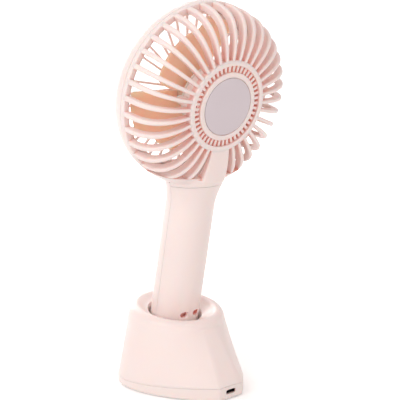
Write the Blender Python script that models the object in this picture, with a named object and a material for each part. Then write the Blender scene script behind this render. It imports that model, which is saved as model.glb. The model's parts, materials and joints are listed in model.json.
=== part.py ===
"""A handheld fan with a round ribbed head, standing in its charging dock.

Lengths are in metres. +Z is up, the fan blows towards -Y, and its ribbed cage and the dock's cable inlet
face +Y. The origin is the point of the desk under the dock that the handle's leaning axis meets.

The handle's pieces are modelled upright in the frame `fan`: +Z runs up the handle's axis, +Y is the
handle's rear. The head's pieces are modelled in the frame `head`, centred on the head: +Z runs rearwards
along the fan's axis, +Y points down the handle.
"""

import math

import bmesh
import bpy
from mathutils import Matrix, Vector

mm = 0.001
full_turn = 2 * math.pi
round_steps = 60  # straight steps in a full turn of the head's large round pieces
sides = (("left", -1), ("right", 1))

# ---------------------------------------------------------------- sizes that can be set by themselves

seat = 0.3 * mm  # gap between pieces that touch
socket_fit = 0.4 * mm  # gap round the handle in its socket
lean = math.radians(11.9)  # how far the handle leans back from upright

# handle
handle_radius = 13.0 * mm
handle_wall = 1.8 * mm
cap_flange = 2.0 * mm
cap_spigot = 3.2 * mm
battery_length = 65.0 * mm
tab_thickness = 0.4 * mm
foam_thickness = 1.2 * mm
foam_length = 32.0 * mm
shelf_thickness = 1.5 * mm
neck_room = 14.2 * mm  # handle above the shelf, where the board sits
flare_start_below_joint = 9.0 * mm
flare_rise = 15.7 * mm
flare_out = 3.8 * mm
joint_slope = 0.25  # the joint line under the head climbs by this much towards the rear
lanyard_height = 17.7 * mm  # above the foot of the handle
lanyard_hole_width = 3.8 * mm
lanyard_hole_height = 2.9 * mm
lanyard_bar_width = 4.2 * mm
lanyard_depth = 2.7 * mm
lanyard_floor = 0.8 * mm

# power button, its board and its light
button_radius = 4.4 * mm
button_flange = 0.9 * mm
button_proud = 0.9 * mm
button_travel = 0.5 * mm
button_above_shelf = 5.6 * mm
board_thickness = 1.2 * mm
board_width = 17.0 * mm
board_setback = 2.4 * mm  # rear face of the board, ahead of the handle's middle plane
switch_width = 6.0 * mm
plunger_radius = 1.6 * mm
plunger_height = 1.0 * mm
light_radius = 1.0 * mm
light_above_button = 6.6 * mm
led_height = 0.8 * mm
charge_pad_radius = 2.0 * mm
charge_pad_thickness = 0.6 * mm
charge_pad_spacing = 9.0 * mm

# cage
cage_radius = 47.3 * mm
cage_depth = 22.1 * mm
rim_plane = -4.0 * mm  # where the ribs leave the rim band, behind the head's middle
rim_band = 2.6 * mm
ring_wall = 2.1 * mm
spigot_wall = 1.5 * mm
spigot_reach = 3.0 * mm
neck_overlap = 0.4 * mm
dome_power = 2.6
hub_radius = 23.5 * mm
hub_ring_depth = 4.2 * mm
hub_floor = 1.9 * mm
rib_places = 36
rib_swirl = math.radians(1.8)
rib_width_at_rim = 2.9 * mm
rib_width_at_hub = 1.9 * mm
rib_depth_at_rim = 3.2 * mm
rib_depth = 4.4 * mm
vent_inner = 17.5 * mm
vent_outer = 20.8 * mm
vent_places = 46
vent_width = 0.95 * mm
vent_recess = 1.2 * mm
vent_floor = 1.5 * mm
label_radius = 14.6 * mm
label_thickness = 0.4 * mm
duct_width_at_hub = 11.4 * mm
duct_width_at_neck = 15.6 * mm
apron_rise = 9.3 * mm  # height of the closed apron over the lowest point of the rim
apron_wall = 3.0 * mm

# front ring and grille
ring_depth = 9.7 * mm
ring_draw_in = 5.7 * mm  # how far the ring's nose lies inside the cage's rim
ring_power = 2.2
lip_thickness = 1.4 * mm
lip_width = 1.6 * mm
grille_set_in = 0.4 * mm  # the ring's nose outside the grille's gap
grille_thickness = 2.0 * mm
grille_rim = 2.2 * mm
grille_cap_radius = 10.5 * mm
spoke_places = 36
spoke_width = 1.1 * mm
catch_width = 6.0 * mm
catch_depth = 1.3 * mm

# motor
motor_radius = 12.2 * mm
motor_length = 11.0 * mm
motor_cap_length = 2.4 * mm
sleeve_wall = 1.6 * mm
cup_wall = 1.7 * mm
plate_thickness = 1.0 * mm
bushing_radius = 3.0 * mm
bushing_proud = 0.8 * mm
shaft_radius = 1.0 * mm
motor_screw_radius = 1.0 * mm
motor_boss_radius = 2.3 * mm
screw_head_height = 1.1 * mm
lead_radius = 0.55 * mm
lead_spacing = 1.8 * mm

# impeller
blade_count = 3
blade_sweep = math.radians(112)
blade_start = math.radians(3.5)  # place of the first blade's straight edge
blade_front = -10.0 * mm
blade_rear = -1.9 * mm
blade_waist = 32.0 * mm  # reach of the blade's long inner part
impeller_hub_radius = 10.5 * mm
impeller_hub_length = 10.4 * mm
impeller_wall = 1.6 * mm
running_gap = 0.5 * mm
tip_gap = 4.1 * mm
blade_thickness = 1.2 * mm

# dock
socket_floor = 23.4 * mm  # height of the socket's floor along the handle's axis
socket_floor_thickness = 1.7 * mm
socket_wall = 1.8 * mm
mouth_height = 37.8 * mm  # along the handle's axis
mouth_radius = 14.6 * mm
mouth_depth = 6.8 * mm  # the mouth narrows to the socket over this depth
dish_sag = 0.6 * mm
crest_height = 40.2 * mm
crest_radius = 20.8 * mm  # half the width of the crest's topmost line
crest_stretch = 1.9 * mm  # the crest is this much longer than wide, each way
crest_back = 9.7 * mm
crest_tilt = math.radians(5.6)
crest_round = 4.1 * mm
crest_lip = 1.6 * mm
dock_half_width = 32.8 * mm
dock_middle = 6.2 * mm  # the widest point of the plan, behind the origin
dock_front_reach = 24.3 * mm
dock_rear_reach = 51.6 * mm
rear_taper = 0.5  # 0 leaves the rear half of the plan a plain oval
facet_plane = 54.0 * mm
dock_flare = 0.95
dock_wall = 2.2 * mm
seam_height = 4.3 * mm  # over the origin
seam_slope = 0.056  # the seam over the tray climbs by this much towards the rear
tray_foot = 0.6 * mm
tray_chamfer = 1.0 * mm
tray_wall = 2.0 * mm
tray_floor = 1.4 * mm
pad_thickness = 1.0 * mm
pad_inset = 5.0 * mm
pad_bed = 0.7 * mm
inlet_width = 7.5 * mm
inlet_height = 2.5 * mm
inlet_depth = 5.6 * mm
inlet_wall = 0.3 * mm
inlet_set_in = 1.3 * mm
inlet_skin = 1.0 * mm  # thickness of the tray's wall round the slot, ahead of the socket
dock_board_thickness = 0.8 * mm
dock_board_width = 24.0 * mm
dock_board_nose = 8.8 * mm
dock_board_taper = 15.0 * mm
lead_spread = 7.0 * mm  # where each contact lead lands on the board
lead_set_in = 3.0 * mm
lead_drop = 2.0 * mm
lead_rise = 3.0 * mm
dock_board_length = 26.0 * mm
pin_spacing = 9.0 * mm
pin_radius = 0.75 * mm
pin_travel = 0.8 * mm
pin_fit = 0.3 * mm
barrel_wall = 0.3 * mm
barrel_length = 8.4 * mm
block_height = 5.6 * mm
block_width = 14.0 * mm
block_depth = 8.0 * mm
base_screw_radius = 1.0 * mm
base_screw_head_radius = 2.1 * mm
base_screw_row = 4.5 * mm  # the front pair, behind the dock's middle
base_screw_rear_row = 28.0 * mm
boss_wall = 1.5 * mm

# ---------------------------------------------------------------- places worked out from those sizes

handle_foot = socket_floor + seat
shell_foot = handle_foot + cap_flange + seat
spigot_top = shell_foot + cap_spigot
battery_radius = handle_radius - lanyard_depth - lanyard_floor - seat
battery_foot = spigot_top + 2 * seat + tab_thickness
battery_top = battery_foot + battery_length
shelf_foot = battery_top + 2 * seat + tab_thickness
shelf_top = shelf_foot + shelf_thickness
neck_joint = shelf_top + neck_room
head_height = neck_joint + cage_radius - neck_overlap
flare_start = neck_joint - flare_start_below_joint
cavity_radius = handle_radius - handle_wall
board_foot = shelf_top + seat
board_top = head_height - cage_radius - seat
board_front = -(board_setback + board_thickness)
button_height = shelf_top + button_above_shelf
light_height = button_height + light_above_button

hub_plane = rim_plane + cage_depth
hub_inner = hub_plane - hub_floor
ring_back = rim_plane - rim_band - seat
ring_front = ring_back - ring_depth
ring_inner = cage_radius - ring_wall
spigot_outer = ring_inner - seat
spigot_inner = spigot_outer - spigot_wall
spigot_front = rim_plane - rim_band - spigot_reach
grille_front = ring_front + lip_thickness + seat
grille_back = grille_front + grille_thickness
ring_front_radius = cage_radius - ring_draw_in
ledge_radius = ring_front_radius - grille_set_in
grille_radius = ledge_radius - seat

sleeve_inner = motor_radius + seat
sleeve_outer = sleeve_inner + sleeve_wall
cup_inner = sleeve_outer + seat
cup_outer = cup_inner + cup_wall
motor_cap_rear = hub_inner - seat
motor_cap_front = motor_cap_rear - motor_cap_length
can_rear = motor_cap_front - seat
can_front = can_rear - motor_length
plate_rear = can_front - seat
plate_front = plate_rear - plate_thickness
bushing_front = plate_front - bushing_proud
impeller_rear = bushing_front - running_gap
impeller_front = impeller_rear - impeller_hub_length
impeller_radius = spigot_inner - tip_gap
motor_screw_place = cup_inner + motor_boss_radius + 0.1 * mm

tray_floor_top = tray_foot + tray_floor
shell_base = seam_height + seat
pad_bed_top = tray_foot + pad_bed
dock_board_foot = tray_floor_top + seat
dock_board_top = dock_board_foot + dock_board_thickness
inlet_foot = dock_board_top + seat
inlet_mouth = facet_plane - inlet_set_in
well_radius = handle_radius + socket_fit
mouth_foot = mouth_height - mouth_depth
block_top = socket_floor - socket_floor_thickness - seat
block_foot = block_top - block_height
barrel_bore = pin_radius + pin_fit
barrel_radius = barrel_bore + barrel_wall
barrel_top = socket_floor
barrel_foot = barrel_top - barrel_length
boss_radius = base_screw_radius + seat + boss_wall


# ---------------------------------------------------------------- scene and finishes

for leftover in list(bpy.data.objects):
    bpy.data.objects.remove(leftover, do_unlink=True)


def finish(name, colour, roughness, metallic=0.0):
    material = bpy.data.materials.new(name)
    material.use_nodes = True
    shader = material.node_tree.nodes["Principled BSDF"]
    shader.inputs["Base Color"].default_value = (*colour, 1.0)
    shader.inputs["Roughness"].default_value = roughness
    shader.inputs["Metallic"].default_value = metallic
    material.diffuse_color = (*colour, 1.0)
    return material


blush = finish("blush_plastic", (0.90, 0.66, 0.60), 0.35)
peach = finish("peach_plastic", (0.92, 0.50, 0.38), 0.35)
lilac = finish("lilac_label", (0.60, 0.55, 0.58), 0.45)
white_plastic = finish("white_plastic", (0.80, 0.79, 0.77), 0.45)
clear_plastic = finish("milky_lens", (0.85, 0.86, 0.84), 0.25)
black_plastic = finish("black_plastic", (0.03, 0.03, 0.03), 0.5)
rubber = finish("grey_rubber", (0.12, 0.11, 0.11), 0.8)
foam = finish("white_foam", (0.75, 0.75, 0.73), 0.95)
circuit = finish("green_board", (0.03, 0.22, 0.09), 0.45)
cell_wrap = finish("blue_cell_wrap", (0.06, 0.20, 0.45), 0.4)
steel = finish("steel", (0.62, 0.62, 0.63), 0.3, 1.0)
brass = finish("gilt_brass", (0.83, 0.62, 0.25), 0.25, 1.0)
red_wire = finish("wire_cover", (0.55, 0.05, 0.04), 0.5)


def frame(name, parent=None, place=(0, 0, 0), turn=(0, 0, 0)):
    empty = bpy.data.objects.new(name, None)
    empty.location = place
    empty.rotation_euler = turn
    empty.parent = parent
    bpy.context.scene.collection.objects.link(empty)
    return empty


dock = frame("dock_frame")
fan = frame("fan_frame", turn=(-lean, 0, 0))
head = frame("head_frame", fan, (0, 0, head_height), (-math.pi / 2, 0, 0))


def piece(name, bm, parent, material, place=(0, 0, 0)):
    """Makes the named solid from bm, whose coordinates are measured from `place` in the parent's frame."""
    bmesh.ops.recalc_face_normals(bm, faces=bm.faces)
    mesh = bpy.data.meshes.new(name)
    bm.to_mesh(mesh)
    bm.free()
    mesh.shade_smooth()
    mesh.set_sharp_from_angle(angle=math.radians(35))
    mesh.materials.append(material)
    obj = bpy.data.objects.new(name, mesh)
    obj.parent = parent
    obj.location = place
    bpy.context.scene.collection.objects.link(obj)
    return obj


def tool(name, bm, parent):
    """A hidden shape that a Boolean joins to a piece or cuts from it."""
    obj = piece(name, bm, parent, blush)
    obj.hide_render = True
    obj.display_type = "WIRE"
    return obj


def boolean(obj, operation, *tools):
    for other in tools:
        modifier = obj.modifiers.new(f"{operation.lower()} {other.name}", "BOOLEAN")
        modifier.operation = operation
        modifier.object = other


def join(obj, *tools):
    boolean(obj, "UNION", *tools)


def cut(obj, *tools):
    boolean(obj, "DIFFERENCE", *tools)


# ---------------------------------------------------------------- shapes


def turned(profile, segments, start=0.0, sweep=full_turn):
    """Turns a profile of (radius, height) about Z. A profile that starts and ends at radius 0 makes a solid."""
    bm = bmesh.new()
    solid = profile[0][0] == 0 and profile[-1][0] == 0
    whole = sweep == full_turn
    where = Matrix.Rotation(start, 3, "Z")
    points = [bm.verts.new(where @ Vector((r, 0, z))) for r, z in profile]
    ends = points[1:] if solid else points[1:] + points[:1]
    edges = [bm.edges.new(pair) for pair in zip(points, ends)]
    bmesh.ops.spin(
        bm,
        geom=points + edges,
        cent=(0, 0, 0),
        axis=(0, 0, 1),
        angle=sweep,
        steps=segments,
        use_merge=whole,
    )
    bmesh.ops.remove_doubles(bm, verts=bm.verts, dist=0.001 * mm)
    if not whole:
        bmesh.ops.holes_fill(bm, edges=[edge for edge in bm.edges if edge.is_boundary], sides=0)
    return bm


def add_loft(bm, rings):
    """Skins closed rings of points, all of one length, and caps the first and the last."""
    loops = [[bm.verts.new(point) for point in ring] for ring in rings]
    for low, high in zip(loops, loops[1:]):
        for i in range(len(low)):
            j = (i + 1) % len(low)
            bm.faces.new((low[i], low[j], high[j], high[i]))
    bm.faces.new(list(reversed(loops[0])))
    bm.faces.new(loops[-1])


def lofted(rings):
    bm = bmesh.new()
    add_loft(bm, rings)
    return bm


def add_block(bm, low, high, turn=None):
    """Adds a block between two corners; turn is applied about the frame's origin."""
    size = Vector(high) - Vector(low)
    middle = (Vector(high) + Vector(low)) / 2
    matrix = Matrix.Translation(middle) @ Matrix.Diagonal((*size, 1))
    if turn is not None:
        matrix = turn @ matrix
    bmesh.ops.create_cube(bm, size=1, matrix=matrix)


def add_rod(bm, radius, low, high, segments=24, at=(0, 0), turn=None):
    """Adds a round rod along Z from height low to height high."""
    matrix = Matrix.Translation((*at, (low + high) / 2))
    if turn is not None:
        matrix = turn @ matrix
    bmesh.ops.create_cone(
        bm,
        cap_ends=True,
        segments=segments,
        radius1=radius,
        radius2=radius,
        depth=high - low,
        matrix=matrix,
    )


def block(low, high):
    bm = bmesh.new()
    add_block(bm, low, high)
    return bm


def rod(radius, low, high, segments=24, at=(0, 0), turn=None):
    bm = bmesh.new()
    add_rod(bm, radius, low, high, segments, at, turn)
    return bm


def slice_off(bm, point, normal):
    """Cuts away what lies on the side of the plane that its normal points to, and closes the cut."""
    bmesh.ops.bisect_plane(
        bm,
        geom=bm.verts[:] + bm.edges[:] + bm.faces[:],
        dist=0.0001 * mm,
        plane_co=point,
        plane_no=normal,
        clear_outer=True,
    )
    bmesh.ops.holes_fill(bm, edges=[edge for edge in bm.edges if edge.is_boundary], sides=0)


def tube(radius, points, corners=6):
    """A tube through the points, each ring square to the way there."""
    points = [Vector(point) for point in points]
    rings = []
    for i, point in enumerate(points):
        ahead = (points[min(i + 1, len(points) - 1)] - points[max(i - 1, 0)]).normalized()
        across = Vector((1, 0, 0))
        across = (across - ahead * across.dot(ahead)).normalized()
        aside = ahead.cross(across)
        ring = []
        for k in range(corners):
            angle = full_turn * k / corners
            ring.append(point + radius * (math.cos(angle) * across + math.sin(angle) * aside))
        rings.append(ring)
    return lofted(rings)


def smooth_route(points, steps=4):
    """A Catmull-Rom curve through the points."""
    points = [Vector(point) for point in points]
    ends = [2 * points[0] - points[1], *points, 2 * points[-1] - points[-2]]
    route = []
    for a, b, c, d in zip(ends, ends[1:], ends[2:], ends[3:]):
        for k in range(steps):
            t = k / steps
            near = 2 * b + (c - a) * t
            far = (2 * a - 5 * b + 4 * c - d) * t**2 + (3 * b - a - 3 * c + d) * t**3
            route.append((near + far) / 2)
    route.append(points[-1])
    return route


# ---------------------------------------------------------------- handle


def flare(height):
    """How far the neck stands out from the plain handle at a height on its axis."""
    rise = max(0.0, height - flare_start) / flare_rise
    return flare_out * rise**1.5


def handle_profile(top):
    """The wall of the handle from its foot to `top`, flaring into the head."""
    steps = 5
    heights = [flare_start + (top - flare_start) * k / steps for k in range(steps + 1)]
    outer = [(handle_radius, shell_foot + 0.5 * mm)]
    outer += [(handle_radius + flare(height), height) for height in heights]
    inner = [(cavity_radius, top), (cavity_radius, shell_foot)]
    return inner + [(handle_radius - 0.5 * mm, shell_foot)] + outer


def half_shell(top, start, segments=18):
    """Half of the handle's wall, held back from the parting plane by half the seam."""
    hold_back = seat / 2 / handle_radius
    return turned(handle_profile(top), segments, start + hold_back, math.pi - 2 * hold_back)


def joint_plane(drop=0.0):
    """A point and the normal of the sloping joint between the rear cover and the cage's collar."""
    return Vector((0, 0, neck_joint - drop)), Vector((0, -joint_slope, 1)).normalized()


def oval_prism(width, height, middle, low, high, segments=16):
    """The rings of a rounded oval prism along Y, centred on `middle`, a place in X and Z."""
    rings = []
    for y in (low, high):
        ring = []
        for k in range(segments):
            angle = full_turn * (k + 0.5) / segments
            across = math.copysign(abs(math.cos(angle)) ** 0.75, math.cos(angle)) * width / 2
            along = math.copysign(abs(math.sin(angle)) ** 0.75, math.sin(angle)) * height / 2
            ring.append((middle[0] + across, y, middle[1] + along))
        rings.append(ring)
    return rings


def rear_sector(inner, outer, low, high, reach):
    """A curved block inside the rear of the handle, out to `reach` on each side of its middle plane."""
    profile = [(inner, low), (outer, low), (outer, high), (inner, high)]
    spread = math.asin(reach / outer)
    return turned(profile, 12, math.pi / 2 - spread, 2 * spread)


def build_rear_cover():
    rear_top = neck_joint + joint_slope * (handle_radius + flare_out)
    shell = half_shell(rear_top, 0.0)
    slice_off(shell, *joint_plane(drop=seat))
    cover = piece("rear_handle_cover", shell, fan, blush)

    middle = handle_foot + lanyard_height
    hole_low = middle - lanyard_hole_height / 2
    hole_high = middle + lanyard_hole_height / 2
    side = lanyard_bar_width / 2 + lanyard_hole_width
    floor = handle_radius - lanyard_depth
    pod = rear_sector(
        floor - lanyard_floor, cavity_radius + 0.4 * mm, hole_low - 1.4 * mm, hole_high + 1.4 * mm, side + 1.2 * mm
    )
    passage = rear_sector(floor, floor + 1.2 * mm, hole_low, hole_high, side)
    holes = bmesh.new()
    for sign in (-1, 1):
        at = (sign * (lanyard_bar_width + lanyard_hole_width) / 2, middle)
        low = floor - 0.4 * mm
        add_loft(holes, oval_prism(lanyard_hole_width, lanyard_hole_height, at, low, handle_radius + 1 * mm))
    join(cover, tool("lanyard_pod", pod, fan))
    cut(cover, tool("lanyard_passage", passage, fan), tool("lanyard_holes", holes, fan))


def build_end_cap():
    lip = handle_radius - 0.6 * mm
    profile = [
        (0, spigot_top),
        (cavity_radius - seat, spigot_top),
        (cavity_radius - seat, shell_foot - seat),
        (lip, shell_foot - seat),
        (lip, handle_foot + 0.6 * mm),
        (lip - 0.6 * mm, handle_foot),
        (0, handle_foot),
    ]
    cap = piece("handle_end_cap", turned(profile, 40), fan, blush)
    beds = bmesh.new()
    pad_top = handle_foot + charge_pad_thickness
    for side, sign in sides:
        at = (sign * charge_pad_spacing / 2, 0)
        piece(f"charge_pad_{side}", rod(charge_pad_radius, handle_foot, pad_top, 20, at), fan, brass)
        add_rod(beds, charge_pad_radius + seat, handle_foot - 1 * mm, pad_top + seat, 20, at)
    cut(cap, tool("charge_pad_beds", beds, fan))


def build_battery():
    edge = 0.8 * mm
    profile = [
        (0, battery_foot),
        (battery_radius - edge, battery_foot),
        (battery_radius, battery_foot + edge),
        (battery_radius, battery_top - edge),
        (battery_radius - edge, battery_top),
        (0, battery_top),
    ]
    piece("battery_cell", turned(profile, 28), fan, cell_wrap)
    reach = battery_radius - 2 * mm
    for end, low in (("lower", battery_foot - seat - tab_thickness), ("upper", battery_top + seat)):
        tab = block((-3 * mm, -reach, low), (3 * mm, reach, low + tab_thickness))
        piece(f"battery_tab_{end}", tab, fan, steel)
    foam_inner = battery_radius + seat
    foam_outer = foam_inner + foam_thickness
    middle = (battery_foot + battery_top) / 2
    strip = [
        (foam_inner, middle - foam_length / 2),
        (foam_outer, middle - foam_length / 2),
        (foam_outer, middle + foam_length / 2),
        (foam_inner, middle + foam_length / 2),
    ]
    spread = math.radians(110)
    piece("battery_foam", turned(strip, 10, -math.pi / 2 - spread / 2, spread), fan, foam)


def build_controls():
    half = board_width / 2
    board = block((-half, board_front, board_foot), (half, -board_setback, board_top))
    piece("control_board", board, fan, circuit)

    switch_back = board_front - seat
    plunger_front = -(handle_radius + button_proud) + button_reach() + seat + button_travel
    switch_front = plunger_front + plunger_height
    half_switch = switch_width / 2
    body = block(
        (-half_switch, switch_front, button_height - half_switch),
        (half_switch, switch_back, button_height + half_switch),
    )
    switch = piece("tact_switch", body, fan, black_plastic)
    lay = Matrix.Rotation(math.pi / 2, 4, "X")
    plunger = rod(plunger_radius, -switch_front - 0.5 * mm, -plunger_front, 16, (0, button_height), lay)
    join(switch, tool("switch_plunger", plunger, fan))

    led = block(
        (-0.8 * mm, switch_back - led_height, light_height - 0.5 * mm),
        (0.8 * mm, switch_back, light_height + 0.5 * mm),
    )
    piece("indicator_led", led, fan, clear_plastic)
    lens_back = -(switch_back - led_height - seat)
    lens_front = handle_radius + flare(light_height) + 0.1 * mm
    lens = rod(light_radius, lens_back, lens_front, 16, (0, light_height), lay)
    piece("indicator_lens", lens, fan, clear_plastic)


def button_reach():
    """Length of the button from its face to the back of its flange."""
    bore_edge = math.sqrt(cavity_radius**2 - (button_radius + 0.9 * mm) ** 2)
    return handle_radius + button_proud - bore_edge + seat + button_flange


def build_button():
    """The button's own +Z runs inwards, along its travel, from the handle's axis."""
    face = -(handle_radius + button_proud)
    back = face + button_reach()
    profile = [
        (0, back),
        (button_radius + 0.9 * mm, back),
        (button_radius + 0.9 * mm, back - button_flange),
        (button_radius, back - button_flange),
        (button_radius, face + 0.5 * mm),
        (button_radius - 0.5 * mm, face),
        (button_radius - 2.0 * mm, face + 0.25 * mm),
        (0, face + 0.35 * mm),
    ]
    axis = frame("button_axis", fan, (0, 0, button_height), (-math.pi / 2, 0, 0))
    piece("power_button", turned(profile, 28), axis, blush)


def build_charging_contacts_in_handle():
    build_end_cap()
    build_battery()


# ---------------------------------------------------------------- head


def dome(step, steps, inset=0.0):
    """(radius, depth) on the cage's dome, from the rim at step 0 to the hub, moved inwards by inset."""
    turn = math.pi / 2 * step / steps
    reach = cage_radius - hub_radius
    power = 2 / dome_power
    across = math.cos(turn) ** power if step < steps else 0.0
    along = math.sin(turn) ** power
    radius = hub_radius + reach * across
    depth = rim_plane + cage_depth * along
    slope_out = across ** (dome_power - 1) / reach
    slope_back = along ** (dome_power - 1) / cage_depth
    length = math.hypot(slope_out, slope_back)
    return radius - inset * slope_out / length, depth - inset * slope_back / length


def around(radius, angle, depth):
    """A point of the head's frame; the angle runs from +X towards the top of the head."""
    return Vector((radius * math.cos(angle), -radius * math.sin(angle), depth))


def down_at(angle):
    """How far an angle lies from straight down, in radians."""
    return abs((angle - 1.5 * math.pi + math.pi) % full_turn - math.pi)


def rib_angles():
    """The ribs' places at the hub, leaving out those where the wire duct is."""
    duct_half_angle = math.atan2(duct_width_at_hub / 2 + rib_width_at_hub / 2, hub_radius)
    places = [full_turn * k / rib_places for k in range(rib_places)]
    return [angle for angle in places if down_at(angle) > duct_half_angle]


def rib_rings(angle):
    """Five-sided sections of one rib, from inside the rim band to inside the hub ring."""
    steps = 6
    rings = []
    for step in range(-1, steps + 2):
        k = min(max(step, 0), steps)
        share = k / steps
        radius, depth = dome(k, steps)
        inner_radius, inner_depth = dome(k, steps, 1.0 * mm)
        out = Vector((radius - inner_radius, depth - inner_depth)) / mm
        if step < 0:
            depth -= 1.2 * mm
        if step > steps:
            radius -= 1.2 * mm
        width = rib_width_at_rim + (rib_width_at_hub - rib_width_at_rim) * share
        thickness = rib_depth_at_rim + (rib_depth - rib_depth_at_rim) * math.sin(math.pi / 2 * share)
        here = angle - rib_swirl * share + rib_swirl
        side = Vector((-math.sin(here), -math.cos(here), 0))
        section = []
        for across, below in ((-0.36, 1.0), (-0.5, 0.28), (0.0, 0.0), (0.5, 0.28), (0.36, 1.0)):
            drop = below * thickness + (0.1 + 0.15 * share) * mm
            at = around(radius - drop * out.x, here, depth - drop * out.y)
            section.append(at + side * across * width)
        rings.append(section)
    return rings


def rib_cluster():
    bm = bmesh.new()
    for angle in rib_angles():
        add_loft(bm, rib_rings(angle))
    return bm


def rim_profile():
    front = rim_plane - rim_band
    band_inner = ring_inner - seat - 0.2 * mm
    return [
        (cage_radius, front),
        (cage_radius, rim_plane - 0.2 * mm),
        (cage_radius - 0.2 * mm, rim_plane),
        (band_inner, rim_plane),
        (spigot_inner, rim_plane - 0.8 * mm),
        (spigot_inner, spigot_front),
        (spigot_outer, spigot_front),
        (spigot_outer, front),
    ]


def hub_profile():
    bed = hub_plane - label_thickness - seat
    bevel = 0.4 * mm
    vent_face = hub_plane - vent_recess
    vent_back = vent_face - vent_floor
    return [
        (0, bed),
        (label_radius + seat, bed),
        (label_radius + seat, hub_plane),
        (vent_inner - bevel, hub_plane),
        (vent_inner, hub_plane - bevel),
        (vent_inner, vent_face),
        (vent_outer, vent_face),
        (vent_outer, hub_plane - bevel / 2),
        (vent_outer + bevel / 2, hub_plane),
        (hub_radius - bevel, hub_plane),
        (hub_radius, hub_plane - bevel),
        (hub_radius, hub_plane - hub_ring_depth),
        (vent_outer + 0.1 * mm, hub_plane - hub_ring_depth),
        (vent_outer + 0.1 * mm, vent_back),
        (cup_outer, vent_back),
        (cup_outer, can_front),
        (cup_inner, can_front),
        (cup_inner, hub_inner),
        (0, hub_inner),
    ]


def vent_cutters():
    """Narrow radial slots through the floor of the channel, except where the wire duct starts."""
    bm = bmesh.new()
    duct_half_angle = math.atan2(duct_width_at_hub / 2, vent_outer)
    low = hub_plane - vent_recess - vent_floor - 0.5 * mm
    high = hub_plane - vent_recess + 0.5 * mm
    half = vent_width / 2
    for k in range(vent_places):
        angle = full_turn * (k + 0.5) / vent_places
        if down_at(angle) < duct_half_angle * 0.7:
            continue
        turn = Matrix.Rotation(-angle, 4, "Z")
        add_block(bm, (vent_inner + 0.2 * mm, -half, low), (vent_outer - 0.2 * mm, half, high), turn)
    return bm


def duct_rings():
    """Sections of the raised duct, from inside the hub ring down to the collar over the neck."""
    steps = 8
    rings = []
    for k in range(steps + 1):
        share = k / steps
        reach = hub_radius - 1.2 * mm + (cage_radius - apron_rise + 3.5 * mm - hub_radius) * share
        top = hub_plane - 0.4 * mm - 0.35 * mm * share**3
        half = (duct_width_at_hub + (duct_width_at_neck - duct_width_at_hub) * share) / 2
        low = hub_plane - hub_ring_depth - 4 * mm * share**2
        edge = 0.8 * mm
        ring = [(-half, reach, low), (-half, reach, top - edge - duct_drop(half, share))]
        for place in (-0.88, -0.6, -0.3, 0.0, 0.3, 0.6, 0.88):
            x = place * half
            ring.append((x, reach, top - duct_drop(x, share)))
        ring += [(half, reach, top - edge - duct_drop(half, share)), (half, reach, low)]
        rings.append(ring)
    return rings


def duct_drop(x, share):
    """How far the duct's back has fallen at x: flat at the hub, as round as the collar at the neck."""
    return x**2 / (2 * (handle_radius + flare_out)) * share**2


def head_cavity_profile():
    """The hollow of the cage behind the spigot, for cutting the apron, the collar and the duct back to it."""
    steps = 8
    wall = [dome(k, steps, apron_wall) for k in range(1, steps + 1)]
    deepest = wall[-1][1]
    front = spigot_front - 8 * mm
    clear = spigot_inner + 0.2 * mm
    return [(0, front), (clear, front), (clear, rim_plane - 0.4 * mm)] + wall + [(0, deepest)]


def build_neck_tool():
    """The apron under the ribs, the collar over the neck and the wire duct, as one closed shape."""
    steps = 12
    shell = [dome(k, steps, 0.05 * mm) for k in range(steps + 1)]
    shell = [(0, rim_plane - 1.2 * mm), (shell[0][0], rim_plane - 1.2 * mm)] + shell + [(0, shell[-1][1])]
    apron = turned(shell, round_steps)
    slice_off(apron, Vector((0, cage_radius - apron_rise, 0)), Vector((0, -1, 0)))

    collar_top = head_height - cage_radius + apron_rise - 0.9 * mm
    count = 6
    low = neck_joint - 2 * mm
    heights = [low + (collar_top - low) * k / count for k in range(count + 1)]
    profile = [(0, low)] + [(handle_radius + flare(height), height) for height in heights] + [(0, collar_top)]
    collar = turned(profile, 20, 0.0, math.pi)
    slice_off(collar, Vector((0, seat / 2, 0)), Vector((0, -1, 0)))
    point, normal = joint_plane()
    slice_off(collar, point, -normal)

    neck = tool("neck_apron", apron, head)
    join(neck, tool("neck_collar", collar, fan), tool("wire_duct", lofted(duct_rings()), head))
    cut(neck, tool("head_hollow", turned(head_cavity_profile(), round_steps), head))
    return neck


def wire_ways():
    """Cuts for the motor leads: a groove behind the duct, a notch in the cup and a hole into the handle."""
    bm = bmesh.new()
    half = lead_spacing / 2 + lead_radius + seat
    deep = hub_plane - 2.6 * mm
    add_block(bm, (-half, cup_inner - 1 * mm, can_rear - 1.5 * mm), (half, cup_outer + 1 * mm, motor_cap_rear))
    add_block(
        bm,
        (-half, cup_outer + 0.5 * mm, hub_plane - hub_ring_depth - 3 * mm),
        (half, cage_radius - apron_rise + 2.5 * mm, deep - 1.1 * mm),
    )
    return bm


def neck_passage():
    """The hole from the head's hollow, through the apron and the collar, into the handle."""
    half = lead_spacing / 2 + lead_radius + 2 * seat
    middle = cavity_radius * 0.55
    return block(
        (-half, middle - half, neck_joint - 6 * mm),
        (half, middle + half, head_height - cage_radius + apron_rise + 4 * mm),
    )


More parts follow.
